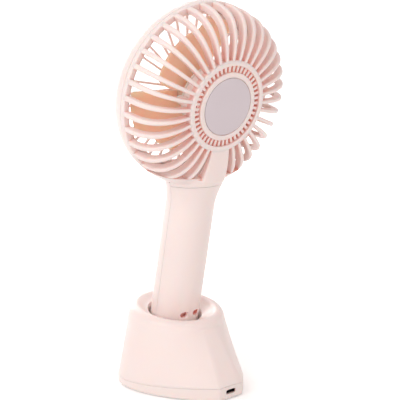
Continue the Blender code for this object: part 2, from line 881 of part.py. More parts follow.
def build_cage():
    off_the_ribs = math.pi / round_steps
    cage = piece("rear_cage", turned(rim_profile(), round_steps, off_the_ribs), head, blush)
    hub = tool("hub", turned(hub_profile(), round_steps, off_the_ribs), head)
    bosses = bmesh.new()
    for sign in (-1, 1):
        at = (sign * motor_screw_place, 0)
        add_rod(bosses, motor_boss_radius, can_front, hub_plane - vent_recess - 0.6 * mm, 16, at)
    screw_holes = bmesh.new()
    for sign in (-1, 1):
        at = (sign * motor_screw_place, 0)
        add_rod(screw_holes, motor_screw_radius + seat, can_front - 1 * mm, can_front + 7.3 * mm, 12, at)
    join(hub, tool("motor_bosses", bosses, head))
    cut(hub, tool("motor_screw_holes", screw_holes, head))
    join(cage, hub, tool("ribs", rib_cluster(), head), build_neck_tool())
    cut(cage, tool("vents", vent_cutters(), head))
    cut(cage, tool("wire_ways", wire_ways(), head), tool("neck_passage", neck_passage(), fan))

    disc = rod(label_radius, hub_plane - label_thickness, hub_plane, 48)
    piece("label_disc", disc, head, lilac)


def ring_outer(share):
    """(radius, depth) on the outside of the front ring, from its back at share 0 to its front."""
    start = rim_plane
    length = start - ring_front
    along = (ring_back - start) / -length + share * (1 - (start - ring_back) / length)
    across = (1 - along**ring_power) ** (1 / ring_power) if along < 1 else 0.0
    return ring_front_radius + (cage_radius - ring_front_radius) * across, start - length * along


def ring_profile():
    outer = [ring_outer(share) for share in (0.0, 0.3, 0.56, 0.76, 0.9, 0.975, 1.0)]
    lip_inner = ledge_radius - lip_width
    lip_back = ring_front + lip_thickness
    spigot_room = spigot_front - seat
    return outer + [
        (lip_inner + 0.4 * mm, ring_front),
        (lip_inner, ring_front + 0.4 * mm),
        (lip_inner, lip_back),
        (ledge_radius, lip_back),
        (ledge_radius, grille_back + 0.3 * mm),
        (ring_inner, spigot_room - 0.4 * mm),
        (ring_inner, ring_back),
    ]


def ring_hollow():
    """What the handle's front shell must not fill inside the ring and the cage."""
    clear = cage_radius + seat
    spigot_room = spigot_front - seat
    lip_back = ring_front + lip_thickness
    rear = hub_plane
    return turned(
        [
            (0, lip_back + 0.3 * mm),
            (ledge_radius, lip_back + 0.3 * mm),
            (ledge_radius, grille_back + 0.3 * mm),
            (ring_inner, spigot_room - 0.4 * mm),
            (ring_inner, ring_back),
            (clear, ring_back),
            (clear, rear),
            (0, rear),
        ],
        round_steps,
    )


def build_front_housing():
    ring = piece("front_housing", turned(ring_profile(), round_steps), head, blush)
    top = head_height - ring_inner + 1.2 * mm
    front_half = tool("handle_front_half", half_shell(top, math.pi), fan)
    cut(front_half, tool("ring_hollow", ring_hollow(), head))
    shelf = [
        (0, shelf_foot),
        (cavity_radius + 0.5 * mm, shelf_foot),
        (cavity_radius + 0.5 * mm, shelf_top),
        (0, shelf_top),
    ]
    shelf_bm = turned(shelf, 20, math.pi, math.pi)
    slice_off(shelf_bm, Vector((0, -1 * mm, 0)), Vector((0, 1, 0)))
    join(front_half, tool("battery_shelf", shelf_bm, fan))

    catches = bmesh.new()
    catch_front = grille_back + seat
    for k in range(4):
        turn = Matrix.Rotation(full_turn * (k + 0.5) / 4, 4, "Z")
        low = (grille_radius - catch_depth, -catch_width / 2, catch_front)
        add_block(catches, low, (ledge_radius + 0.8 * mm, catch_width / 2, catch_front + 1.2 * mm), turn)
    join(ring, front_half, tool("grille_catches", catches, head))

    lay = Matrix.Rotation(math.pi / 2, 4, "X")
    button_hole = rod(button_radius + seat, 5 * mm, handle_radius + 5 * mm, 28, (0, button_height), lay)
    light_hole = rod(light_radius + seat, 5 * mm, handle_radius + 8 * mm, 16, (0, light_height), lay)
    cut(ring, tool("button_hole", button_hole, fan), tool("light_hole", light_hole, fan))


def build_grille():
    inner = grille_radius - grille_rim
    rim = turned(
        [
            (grille_radius, grille_front),
            (grille_radius, grille_back),
            (inner, grille_back),
            (inner, grille_front),
        ],
        round_steps,
    )
    grille = piece("front_grille", rim, head, blush)
    edge = 0.6 * mm
    cap_profile = [
        (0, grille_back),
        (grille_cap_radius, grille_back),
        (grille_cap_radius, grille_front - 0.6 * mm + edge),
        (grille_cap_radius - edge, grille_front - 0.6 * mm),
        (0, grille_front - 0.9 * mm),
    ]
    spokes = bmesh.new()
    half = spoke_width / 2
    front = grille_front + 0.15 * mm
    back = grille_back - 0.15 * mm
    for k in range(spoke_places):
        turn = Matrix.Rotation(full_turn * k / spoke_places, 4, "Z")
        low = (grille_cap_radius - 0.8 * mm, -half, front)
        add_block(spokes, low, (inner + 0.8 * mm, half, back), turn)
    cap = turned(cap_profile, spoke_places, math.pi / spoke_places)
    join(grille, tool("grille_cap", cap, head), tool("spokes", spokes, head))


def build_motor():
    shaft_bore = shaft_radius + seat
    can_edge = 0.6 * mm
    bore_end = can_rear - 2 * mm
    can = [
        (0, can_rear),
        (motor_radius - can_edge, can_rear),
        (motor_radius, can_rear - can_edge),
        (motor_radius, can_front),
        (shaft_bore, can_front),
        (shaft_bore, bore_end),
        (0, bore_end),
    ]
    piece("motor_can", turned(can, 30), head, steel)
    cap = [
        (0, motor_cap_rear),
        (motor_radius - 1 * mm, motor_cap_rear),
        (motor_radius - 0.3 * mm, motor_cap_rear - 0.7 * mm),
        (motor_radius - 0.3 * mm, motor_cap_front),
        (0, motor_cap_front),
    ]
    piece("motor_end_cap", turned(cap, 30), head, white_plastic)
    bushing = [
        (shaft_bore, bushing_front),
        (bushing_radius, bushing_front),
        (bushing_radius, can_front - seat),
        (shaft_bore, can_front - seat),
    ]
    piece("motor_bushing", turned(bushing, 24), head, brass)
    sleeve = [
        (sleeve_inner, can_front + 0.5 * mm),
        (sleeve_outer, can_front + 0.5 * mm),
        (sleeve_outer, can_rear),
        (sleeve_inner, can_rear),
    ]
    piece("motor_sleeve", turned(sleeve, 30), head, rubber)

    plate_bm = turned(
        [
            (bushing_radius + seat, plate_front),
            (cup_outer, plate_front),
            (cup_outer, plate_rear),
            (bushing_radius + seat, plate_rear),
        ],
        48,
    )
    plate = piece("motor_clamp_plate", plate_bm, head, white_plastic)
    ears = bmesh.new()
    holes = bmesh.new()
    head_radius = motor_screw_radius + 0.9 * mm
    tip = can_front + 7 * mm
    for sign in (-1, 1):
        at = (sign * motor_screw_place, 0)
        add_rod(ears, motor_boss_radius, plate_front + 0.01 * mm, plate_rear - 0.01 * mm, 16, at)
        add_rod(holes, motor_screw_radius + seat, plate_front - 1 * mm, plate_rear + 0.2 * mm, 12, at)
    join(plate, tool("plate_ears", ears, head))
    cut(plate, tool("plate_holes", holes, head))
    head_rear = plate_front - seat
    screw = [
        (0, tip),
        (motor_screw_radius, tip - 0.6 * mm),
        (motor_screw_radius, head_rear),
        (head_radius, head_rear),
        (head_radius, head_rear - screw_head_height + 0.3 * mm),
        (head_radius - 0.4 * mm, head_rear - screw_head_height),
        (0, head_rear - screw_head_height),
    ]
    for side, sign in sides:
        piece(f"motor_screw_{side}", turned(screw, 12), head, steel, (sign * motor_screw_place, 0, 0))


def build_leads():
    """Two leads from the motor's end cap, behind the duct and through the neck, to the control board."""
    start = motor_radius - 0.3 * mm + seat
    behind_duct = hub_plane - hub_ring_depth - 0.2 * mm
    passage = cavity_radius * 0.55
    board_back = -board_setback + seat
    down = head_height - neck_joint
    route = [
        (start, motor_cap_front + 0.9 * mm),
        (cup_outer, behind_duct),
        (hub_radius, behind_duct),
        (cage_radius - apron_rise - 6 * mm, behind_duct - 0.6 * mm),
        (cage_radius - apron_rise - 1.5 * mm, behind_duct - 3.4 * mm),
        (cage_radius - apron_rise + 1.5 * mm, passage + 0.8 * mm),
        (down - 1 * mm, passage),
        (down + 3 * mm, passage - 1 * mm),
        (down + 5 * mm, passage - 4 * mm),
        (down + 6 * mm, board_back),
    ]
    for side, sign in sides:
        points = [(sign * lead_spacing / 2, y, z) for y, z in route]
        piece(f"motor_lead_{side}", tube(lead_radius, smooth_route(points, 3)), head, red_wire)


def blade_reach(sweep):
    """Reach of a blade at a share of its sweep, from its straight edge to its point: a broad shoulder, then
    a long waist."""
    shoulder = 0.25
    waist = 0.37
    tail = 0.93
    if sweep < 0.02:
        return impeller_radius - 1.2 * mm
    if sweep <= shoulder:
        return impeller_radius
    if sweep < waist:
        share = (sweep - shoulder) / (waist - shoulder)
        eased = share * share * (3 - 2 * share)
        return impeller_radius + (blade_waist + 1 * mm - impeller_radius) * eased
    if sweep <= tail:
        return blade_waist + 1 * mm - 2 * mm * (sweep - waist) / (tail - waist)
    share = (sweep - tail) / (1 - tail)
    return impeller_hub_radius + 1 * mm + (blade_waist - 2 * mm - impeller_hub_radius) * math.sqrt(1 - share)


def blade_rings(first_angle):
    """Radial sections of one blade, from its straight front edge round to its point at the rear."""
    shares = (0.0, 0.03, 0.1, 0.18, 0.25, 0.29, 0.33, 0.37, 0.46, 0.55, 0.64, 0.73, 0.82, 0.9, 0.955, 0.985, 1.0)
    root = impeller_hub_radius - impeller_wall / 2
    rings = []
    for share in shares:
        angle = first_angle - blade_sweep * share
        depth = blade_front + (blade_rear - blade_front) * share
        edge = 0.5 if share in (0.0, 1.0) else 1.0
        reach = blade_reach(share)
        section = []
        stations = (0.0, 0.34, 0.68, 0.92, 1.0)
        corners = [(place, 0.5) for place in stations] + [(place, -0.5) for place in reversed(stations)]
        for place, side in corners:
            thick = blade_thickness * side * edge * (0.5 if place == 1.0 else 1.0)
            cup = 0.9 * mm * math.sin(math.pi * place) * (1 - share)
            section.append(around(root + (reach - root) * place, angle, depth + thick - cup * edge))
        rings.append(section)
    return rings


def build_impeller():
    shell_inner = impeller_hub_radius - impeller_wall
    boss = shaft_radius + seat + 1.4 * mm
    bore = shaft_radius + seat
    front_wall = impeller_front + impeller_wall
    edge = 1.2 * mm
    hub_shell = [
        (0, impeller_front),
        (impeller_hub_radius - edge, impeller_front),
        (impeller_hub_radius, impeller_front + edge),
        (impeller_hub_radius, impeller_rear),
        (shell_inner, impeller_rear),
        (shell_inner, front_wall),
        (boss, front_wall),
        (boss, impeller_rear),
        (bore, impeller_rear),
        (bore, front_wall),
        (0, front_wall),
    ]
    axis = frame("impeller_axis", head)
    impeller = piece("impeller", turned(hub_shell, 40), axis, peach)
    blades = bmesh.new()
    for k in range(blade_count):
        add_loft(blades, blade_rings(blade_start + full_turn * k / blade_count))
    join(impeller, tool("blades", blades, axis))
    shaft = rod(shaft_radius, front_wall + seat, can_rear - 2 * mm - seat, 16)
    piece("motor_shaft", shaft, axis, steel)


# ---------------------------------------------------------------- dock


def plan_radius(angle, inset=0.0):
    """Reach of the dock's plan from its widest point, at an angle from +X: an oval, drawn in towards the
    rear and cut off there by the facet."""
    rear = max(0.0, math.sin(angle))
    power = 2 - rear_taper * math.sqrt(rear)
    across = abs(math.cos(angle)) / (dock_half_width - inset)
    along = abs(math.sin(angle)) / ((dock_rear_reach if rear > 0 else dock_front_reach) - inset)
    reach = (across**power + along**power) ** (-1 / power)
    if rear > 0:
        reach = min(reach, (facet_plane - inset - dock_middle) / rear)
    return reach


def plan_ring(height, segments, inset=0.0, slope=0.0):
    ring = []
    for k in range(segments):
        angle = full_turn * (k + 0.5) / segments
        reach = plan_radius(angle, inset)
        y = dock_middle + reach * math.sin(angle)
        ring.append(Vector((reach * math.cos(angle), y, height + slope * y)))
    return ring


def tilted_ring(centre, radius, tilt, segments, stretch=0.0):
    ring = []
    for k in range(segments):
        angle = full_turn * (k + 0.5) / segments
        y = (radius + stretch) * math.sin(angle)
        offset = Vector((radius * math.cos(angle), y * math.cos(tilt), -y * math.sin(tilt)))
        ring.append(Vector(centre) + offset)
    return ring


def on_axis(height, back=0.0):
    """A point of the handle's axis, moved back along the desk."""
    return Vector((0, height * math.sin(lean) + back, height * math.cos(lean)))


def crest_ring(radius, drop, segments):
    """A ring in the crest's tilted plane, or `drop` below it."""
    down = drop * Vector((0, math.sin(crest_tilt), math.cos(crest_tilt)))
    centre = Vector((0, crest_back, crest_height)) - down
    return tilted_ring(centre, radius, crest_tilt, segments, crest_stretch)


def body_rings(segments, inset, foot, levels, crest_drop=0.0):
    """Rings of the dock's side, from the foot up to its round shoulder."""
    shoulder = crest_ring(crest_radius + crest_round - inset, crest_round + crest_drop, segments)
    base = plan_ring(shell_base, segments, inset, seam_slope)
    rings = []
    if foot < shell_base:
        rings.append(plan_ring(foot, segments, inset))
    for level in range(levels + 1):
        share = level / levels
        drawn = 1 - (1 - share) ** dock_flare
        ring = []
        for low, high in zip(base, shoulder):
            point = low.lerp(high, drawn)
            point.z = low.z + (high.z - low.z) * share
            ring.append(point)
        rings.append(ring)
    return rings


def build_dock_shell():
    segments = 60
    rings = body_rings(segments, 0.0, shell_base, 7)
    for turn in (30, 60, 90):
        out = math.cos(math.radians(turn))
        up = math.sin(math.radians(turn))
        rings.append(crest_ring(crest_radius + crest_round * out, crest_round * (1 - up), segments))
    lip = crest_ring(crest_radius - crest_lip, 0.5 * mm, segments)
    mouth = tilted_ring(on_axis(mouth_height), mouth_radius + 0.5 * mm, lean, segments)
    dish = [outer.lerp(inner, 0.5) - Vector((0, 0, dish_sag)) for outer, inner in zip(lip, mouth)]
    rings += [lip, dish, mouth]
    rings.append(tilted_ring(on_axis(mouth_height - 0.5 * mm), mouth_radius, lean, segments))
    rings.append(tilted_ring(on_axis(mouth_foot), well_radius + 0.1 * mm, lean, segments))
    rings.append(tilted_ring(on_axis(socket_floor), well_radius, lean, segments))
    shell = piece("dock_shell", lofted(rings), dock, blush)

    hollow = tool(
        "dock_hollow",
        lofted(body_rings(36, dock_wall, shell_base - 4 * mm, 5, dock_wall)),
        dock,
    )
    core_radius = well_radius + socket_wall
    core_top = mouth_radius + socket_wall
    core = [
        (0, socket_floor - socket_floor_thickness),
        (core_radius, socket_floor - socket_floor_thickness),
        (core_radius, mouth_foot - 1 * mm),
        (core_top, mouth_foot + 2 * mm),
        (core_top, mouth_height + 6 * mm),
        (0, mouth_height + 6 * mm),
    ]
    cut(hollow, tool("socket_core", turned(core, 48), fan))
    cut(shell, hollow)

    posts = bmesh.new()
    post_holes = bmesh.new()
    for place in base_screw_places():
        beside_socket = place[0] != 0
        post_top = socket_floor + 5 * mm if beside_socket else crest_height - 7 * mm
        add_rod(posts, boss_radius, post_foot(), post_top, 16, place)
        add_rod(post_holes, base_screw_radius + seat, post_foot() - 1 * mm, post_foot() + 10 * mm, 12, place)
    join(shell, tool("screw_posts", posts, dock))
    cut(shell, tool("screw_post_holes", post_holes, dock))

    pin_ways = bmesh.new()
    for sign in (-1, 1):
        at = (sign * pin_spacing / 2, 0)
        low = socket_floor - socket_floor_thickness - 1 * mm
        add_rod(pin_ways, barrel_radius + seat, low, socket_floor + 1 * mm, 16, at)
    cut(shell, tool("pin_ways", pin_ways, fan))


def base_screw_places():
    side = well_radius + socket_wall + 1.6 * mm
    return ((-side, base_screw_row), (side, base_screw_row), (0, base_screw_rear_row))


def post_foot():
    return tray_floor_top + 3.1 * mm + seat


def build_tray():
    segments = 60
    rings = [
        plan_ring(tray_foot, segments, tray_chamfer),
        plan_ring(tray_foot + tray_chamfer, segments),
        plan_ring(seam_height, segments, 0.0, seam_slope),
        plan_ring(seam_height, segments, tray_wall, seam_slope),
        plan_ring(tray_floor_top, segments, tray_wall),
    ]
    tray = piece("dock_base_tray", lofted(rings), dock, blush)
    bosses = bmesh.new()
    holes = bmesh.new()
    head_room = base_screw_head_radius + seat
    for place in base_screw_places():
        boss_top = post_foot() - seat
        add_rod(bosses, head_room + 1.2 * mm, tray_floor_top - 0.5 * mm, boss_top, 16, place)
        add_rod(holes, head_room, tray_foot - 1 * mm, tray_floor_top + 0.9 * mm, 16, place)
    shank_ways = bmesh.new()
    for place in base_screw_places():
        add_rod(shank_ways, base_screw_radius + seat, tray_foot, post_foot() + 1 * mm, 12, place)
    join(tray, tool("tray_bosses", bosses, dock))
    cut(tray, tool("screw_head_ways", holes, dock), tool("screw_shank_ways", shank_ways, dock))
    bed_inset = pad_inset - seat
    bed = lofted([plan_ring(tray_foot - 1 * mm, 36, bed_inset), plan_ring(pad_bed_top, 36, bed_inset)])
    pocket = block(
        (-inlet_width / 2 - seat, inlet_mouth - inlet_depth, inlet_foot - seat),
        (inlet_width / 2 + seat, facet_plane - inlet_skin, inlet_foot + inlet_height + seat),
    )
    slot_width = inlet_width - 2 * inlet_wall
    slot_height = inlet_height - 2 * inlet_wall + 0.2 * mm
    at = (0, inlet_foot + inlet_height / 2)
    slot = lofted(oval_prism(slot_width, slot_height, at, inlet_mouth - 1 * mm, facet_plane + 1 * mm))
    cut(tray, tool("pad_bed", bed, dock), tool("inlet_pocket", pocket, dock), tool("inlet_slot", slot, dock))

    pad = lofted([plan_ring(0.0, 36, pad_inset), plan_ring(pad_thickness, 36, pad_inset)])
    piece("dock_pad", pad, dock, rubber)

    head_foot = pad_bed_top + 0.2 * mm
    head_top = tray_floor_top + 0.9 * mm - seat
    screw = [
        (0, head_foot),
        (base_screw_head_radius, head_foot),
        (base_screw_head_radius, head_top),
        (base_screw_radius, head_top),
        (base_screw_radius, post_foot() + 8 * mm),
        (0, post_foot() + 9 * mm),
    ]
    for side, place in zip(("left", "right", "rear"), base_screw_places()):
        piece(f"base_screw_{side}", turned(screw, 12), dock, steel, (*place, 0))


def build_dock_electrics():
    half = dock_board_width / 2
    rear = inlet_mouth - 1.6 * mm
    rear_edge = min(rear, facet_plane - tray_wall - seat)
    front_edge = rear_edge - dock_board_length
    narrow = dock_board_nose / 2
    outline = [
        (-half, front_edge),
        (half, front_edge),
        (half, rear_edge - dock_board_taper),
        (narrow, rear_edge),
        (-narrow, rear_edge),
        (-half, rear_edge - dock_board_taper),
    ]
    low = [(x, y, dock_board_foot) for x, y in outline]
    high = [(x, y, dock_board_top) for x, y in outline]
    board = piece("dock_board", lofted([low, high]), dock, circuit)
    boss_way = rod(base_screw_head_radius + 1.2 * mm + 3 * seat, 0, 12 * mm, 16, base_screw_places()[2])
    cut(board, tool("board_boss_way", boss_way, dock))

    x = inlet_width / 2
    inlet_top = inlet_foot + inlet_height
    shell = block((-x, inlet_mouth - inlet_depth, inlet_foot), (x, inlet_mouth, inlet_top))
    inlet = piece("usb_inlet", shell, dock, steel)
    wall = inlet_wall
    mouth = block(
        (-x + wall, inlet_mouth - inlet_depth + 1.0 * mm, inlet_foot + wall),
        (x - wall, inlet_mouth + 1 * mm, inlet_top - wall),
    )
    cut(inlet, tool("inlet_mouth", mouth, dock))
    tongue_middle = (inlet_foot + inlet_top) / 2
    tongue = block(
        (-1.9 * mm, inlet_mouth - inlet_depth + 0.5 * mm, tongue_middle - 0.35 * mm),
        (1.9 * mm, inlet_mouth - 1.2 * mm, tongue_middle + 0.35 * mm),
    )
    join(inlet, tool("inlet_tongue", tongue, dock))

    block_bm = block(
        (-block_width / 2, -block_depth / 2, block_foot),
        (block_width / 2, block_depth / 2, block_top),
    )
    holder = piece("contact_block", block_bm, fan, black_plastic)
    ways = bmesh.new()
    barrel_floor = barrel_foot + 0.8 * mm
    barrel = [
        (0, barrel_foot),
        (barrel_radius, barrel_foot),
        (barrel_radius, barrel_top),
        (barrel_bore, barrel_top),
        (barrel_bore, barrel_floor),
        (0, barrel_floor),
    ]
    pin_length = barrel_top - barrel_floor - pin_travel - seat
    pin = [
        (0, -pin_length),
        (pin_radius, -pin_length),
        (pin_radius, -0.3 * mm),
        (pin_radius - 0.3 * mm, 0),
        (0, 0),
    ]
    for side, sign in sides:
        x = sign * pin_spacing / 2
        add_rod(ways, barrel_radius + seat, block_foot - 1 * mm, block_top + 1 * mm, 16, (x, 0))
        piece(f"contact_barrel_{side}", turned(barrel, 16), fan, brass, (x, 0, 0))
        piece(f"contact_pin_{side}", turned(pin, 12), fan, brass, (x, 0, socket_floor))
        foot = Matrix.Rotation(-lean, 4, "X") @ Vector((x, 0, barrel_foot - seat))
        goal = Vector((sign * lead_spread, front_edge + lead_set_in, dock_board_top + seat))
        under = foot + Vector((0, lead_drop / 2, -lead_drop))
        over = goal + Vector((0, -lead_rise / 1.2, lead_rise))
        route = [foot, under, over, goal]
        piece(f"contact_lead_{side}", tube(lead_radius, smooth_route(route)), dock, red_wire)
    cut(holder, tool("barrel_ways", ways, fan))


def crisp_edges():
    """A node group that marks every edge sharper than 35 degrees, so that flat faces shade flat."""
    group = bpy.data.node_groups.new("crisp_edges", "GeometryNodeTree")
    group.interface.new_socket("Geometry", in_out="INPUT", socket_type="NodeSocketGeometry")
    group.interface.new_socket("Geometry", in_out="OUTPUT", socket_type="NodeSocketGeometry")
    entry = group.nodes.new("NodeGroupInput")
    angle = group.nodes.new("GeometryNodeInputMeshEdgeAngle")
    sharper = group.nodes.new("FunctionNodeCompare")
    sharper.data_type = "FLOAT"
    sharper.operation = "GREATER_THAN"
    sharper.inputs[1].default_value = math.radians(35)
    mark = group.nodes.new("GeometryNodeSetShadeSmooth")
    mark.domain = "EDGE"
    mark.inputs["Shade Smooth"].default_value = False
    leave = group.nodes.new("NodeGroupOutput")
    group.links.new(angle.outputs["Unsigned Angle"], sharper.inputs[0])
    group.links.new(entry.outputs[0], mark.inputs["Geometry"])
    group.links.new(sharper.outputs["Result"], mark.inputs["Selection"])
    group.links.new(mark.outputs["Geometry"], leave.inputs[0])
    return group


build_dock_shell()
build_tray()
build_dock_electrics()
build_rear_cover()
build_charging_contacts_in_handle()
build_controls()
build_button()
build_cage()
build_front_housing()
build_grille()
build_motor()
build_leads()
build_impeller()

crisp = crisp_edges()
for obj in bpy.data.objects:
    if obj.type == "MESH" and not obj.hide_render:
        obj.modifiers.new("crisp edges", "NODES").node_group = crisp
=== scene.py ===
import json
from math import asin, atan2, copysign, cos, hypot, pi, radians, sin, sqrt

import bmesh
import bpy
from mathutils import Matrix, Vector


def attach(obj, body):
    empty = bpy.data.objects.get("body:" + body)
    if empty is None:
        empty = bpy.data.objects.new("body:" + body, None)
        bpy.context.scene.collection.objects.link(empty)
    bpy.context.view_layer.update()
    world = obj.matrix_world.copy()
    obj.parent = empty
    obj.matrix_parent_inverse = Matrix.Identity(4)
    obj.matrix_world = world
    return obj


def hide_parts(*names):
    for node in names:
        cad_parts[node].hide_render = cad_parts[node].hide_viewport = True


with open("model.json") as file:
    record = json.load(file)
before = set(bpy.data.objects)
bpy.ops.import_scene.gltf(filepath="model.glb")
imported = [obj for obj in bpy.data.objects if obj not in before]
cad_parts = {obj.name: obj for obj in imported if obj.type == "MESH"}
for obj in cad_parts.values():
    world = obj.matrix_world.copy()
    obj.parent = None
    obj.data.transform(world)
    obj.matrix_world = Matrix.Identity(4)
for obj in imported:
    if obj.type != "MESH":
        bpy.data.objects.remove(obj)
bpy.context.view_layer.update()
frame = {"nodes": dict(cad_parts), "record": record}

fullTurn = 2 * pi

# Every shape below is drawn in millimetres, upright in the fan's own frame: the handle's axis is Z, its
# rear is +Y. The dock is drawn as it stands on the desk. The head's turned pieces are drawn round the fan's
# axis first, with Y down the handle and Z rearwards, and laid into the fan's frame by headInFan.
layout = {
    "lean": 11.9,  # degrees from upright
    "headHeight": 158.8,
    "seam": 0.14,  # line seen between pieces
    "gap": 0.3,  # room between pieces where the line isn't seen
    "handleRadius": 13.0, "handleInner": 11.2, "handleSegments": 72,
    "shellFoot": 26.0,
    "footRounding": ((0.6, 0.0), (0.25, 0.1), (0.07, 0.3), (0.0, 0.6)),  # inwards, upwards
    "flareStart": 102.9, "flareRise": 15.7, "flareOut": 3.8, "flarePower": 1.5,
    "neckJoint": 111.9,
    "jointSlope": 0.25,
}
tolerance = {
    "onAxis": 1e-6,
    "turnedWeld": 0.0005,
    "pieceWeld": 0.0002,
    "sliver": 0.0001,
    "sharpAngle": 38,  # degrees, edges above it stay crisp
}

toMetres = Matrix.Scale(0.001, 4)
leanBack = Matrix.Rotation(-radians(layout["lean"]), 4, "X")
fanPlace = leanBack @ toMetres
headInFan = Matrix.Translation((0, 0, layout["headHeight"])) @ Matrix.Rotation(-pi / 2, 4, "X")
towardsFront = Matrix.Rotation(pi / 2, 4, "X")
ringSegments = 180


# Node tools, and shader groups that several materials share


def feed(tree, node, values):
    # a value is put in the input of that name or number, and an output socket is linked to it
    for label, value in values.items():
        if isinstance(value, bpy.types.NodeSocket):
            tree.links.new(value, node.inputs[label])
        else:
            node.inputs[label].default_value = value


def addNode(tree, kind, values, **settings):
    node = tree.nodes.new(kind)
    for setting, choice in settings.items():
        setattr(node, setting, choice)
    feed(tree, node, values)
    return node


def mathNode(tree, operation, *values, clamp=False):
    given = dict(enumerate(values))
    return addNode(tree, "ShaderNodeMath", given, operation=operation, use_clamp=clamp).outputs[0]


def noise(tree, place, scale, detail, roughness, distortion=0.0):
    values = {"Vector": place, "Scale": scale, "Detail": detail, "Roughness": roughness}
    return addNode(tree, "ShaderNodeTexNoise", {**values, "Distortion": distortion}).outputs["Fac"]


def mixed(tree, factor, low, high):
    values = {"Factor": factor, "A": low, "B": high}
    return addNode(tree, "ShaderNodeMix", values, data_type="RGBA").outputs["Result"]


def eased(tree, value, fromMin, fromMax, toMin=0.0, toMax=1.0):
    values = {"Value": value, "From Min": fromMin, "From Max": fromMax, "To Min": toMin, "To Max": toMax}
    return addNode(tree, "ShaderNodeMapRange", values, interpolation_type="SMOOTHSTEP").outputs["Result"]


def newGroup(name, inputs, outputs):
    group = bpy.data.node_groups.new(name, "ShaderNodeTree")
    group.interface.new_socket("Vector", in_out="INPUT", socket_type="NodeSocketVector")
    for label, value in inputs.items():
        socket = group.interface.new_socket(label, in_out="INPUT", socket_type="NodeSocketFloat")
        socket.default_value = value
    for label in outputs:
        group.interface.new_socket(label, in_out="OUTPUT", socket_type="NodeSocketFloat")
    return group, group.nodes.new("NodeGroupInput").outputs, group.nodes.new("NodeGroupOutput")


def buildMouldedGrain():
    group, given, leave = newGroup("mouldedGrain", {"Grain Size": 0.0005, "Handling": 0.3},
                                   ["Height", "Polish", "Tint"])
    place = given["Vector"]
    grainScale = mathNode(group, "DIVIDE", 1.0, given["Grain Size"])
    grain = noise(group, place, grainScale, detail=3.0, roughness=0.6)
    # the flow is a slow change of colour from the moulding, the smudges are where hands have polished it
    flow = noise(group, place, scale=55, detail=4.0, roughness=0.55, distortion=0.6)
    smudge = noise(group, place, scale=140, detail=5.0, roughness=0.6, distortion=1.2)
    polish = mathNode(group, "MULTIPLY", mathNode(group, "SUBTRACT", smudge, 0.5), given["Handling"])
    feed(group, leave, {"Height": grain, "Polish": polish, "Tint": flow})
    return group


def buildBrushing():
    group, given, leave = newGroup("brushing", {"Line Count": 3000.0}, ["Height", "Streak"])
    place = given["Vector"]
    longAcrossY = (0.04, 1.0, 0.04)
    stretch = addNode(group, "ShaderNodeMapping", {"Vector": place, "Scale": longAcrossY})
    lines = noise(group, stretch.outputs["Vector"], given["Line Count"], detail=2.0, roughness=0.5)
    patches = noise(group, place, scale=260, detail=3.0, roughness=0.6)
    feed(group, leave, {"Height": lines, "Streak": patches})
    return group


mouldedGrain = buildMouldedGrain()
brushing = buildBrushing()

surface = {
    "grainHeight": 0.00005,  # metres
    "glowReach": (1.0, 0.42, 0.30),  # red light goes furthest through the plastic
    "plasticIor": 1.46,
    # the painted shade in gaps: occlusion samples, and the occlusion at which a gap is fully shaded and
    # fully open
    "paintedShadeSamples": 6, "paintedShadeClosed": 0.05, "paintedShadeOpen": 0.74,
    "lineHeight": 0.00004,  # metres
    "lineStrength": 0.25,
    "streakSpread": 0.18, "streakShine": 0.08,
}


def startMaterial(name, roughness, metallic=0.0):
    material = bpy.data.materials.new(name)
    material.use_nodes = True
    tree = material.node_tree
    shader = tree.nodes["Principled BSDF"]
    feed(tree, shader, {"Roughness": roughness, "Metallic": metallic})
    return material, tree, shader, tree.nodes.new("ShaderNodeTexCoord").outputs["Object"]


def withPaintedGapShade(tree, colour, finish):
    # painted shade: where ambient occlusion finds a gap, the colour turns deeper and warmer, standing in for
    # light that has bounced about in it, or come through a thin wall, and taken on the plastic's colour
    shadeOcclusion = addNode(tree, "ShaderNodeAmbientOcclusion", {"Distance": finish["paintedShadeReach"]},
                   samples=surface["paintedShadeSamples"], only_local=True)
    unshadedShare = eased(tree, shadeOcclusion.outputs["AO"], surface["paintedShadeClosed"], surface["paintedShadeOpen"])
    return mixed(tree, unshadedShare, (*finish["paintedShadeColour"], 1), colour)


def bumpFrom(tree, height, strength, distance):
    values = {"Height": height, "Strength": strength, "Distance": distance}
    return addNode(tree, "ShaderNodeBump", values).outputs["Normal"]


def plastic(name, finish):
    material, tree, shader, place = startMaterial(name, finish["roughness"])
    values = {"Vector": place, "Grain Size": finish["grainSize"], "Handling": finish["handling"]}
    grain = addNode(tree, "ShaderNodeGroup", values, node_tree=mouldedGrain)
    colour = mixed(tree, grain.outputs["Tint"], (*finish["shade"], 1), (*finish["colour"], 1))
    # painted shade in the gaps
    if "paintedShadeColour" in finish:
        colour = withPaintedGapShade(tree, colour, finish)
    feed(tree, shader, {
        "Base Color": colour,
        "Roughness": mathNode(tree, "ADD", finish["roughness"], grain.outputs["Polish"], clamp=True),
        "Normal": bumpFrom(tree, grain.outputs["Height"], finish["grainDepth"], surface["grainHeight"]),
        "Subsurface Weight": finish.get("glow", 0.0),
        "Subsurface Radius": surface["glowReach"],
        "Subsurface Scale": finish.get("glowDepth", 0.002),
        "IOR": surface["plasticIor"],
    })
    return material


def metal(name, finish):
    material, tree, shader, place = startMaterial(name, finish["roughness"], 1.0)
    values = {"Vector": place, "Line Count": finish["lineCount"]}
    lines = addNode(tree, "ShaderNodeGroup", values, node_tree=brushing)
    streak = lines.outputs["Streak"]
    smoothest = finish["roughness"] - surface["streakShine"]
    feed(tree, shader, {
        "Base Color": mixed(tree, streak, (*finish["shade"], 1), (*finish["colour"], 1)),
        "Roughness": mathNode(tree, "MULTIPLY_ADD", streak, surface["streakSpread"], smoothest),
        "Normal": bumpFrom(tree, lines.outputs["Height"], surface["lineStrength"], surface["lineHeight"]),
    })
    return material


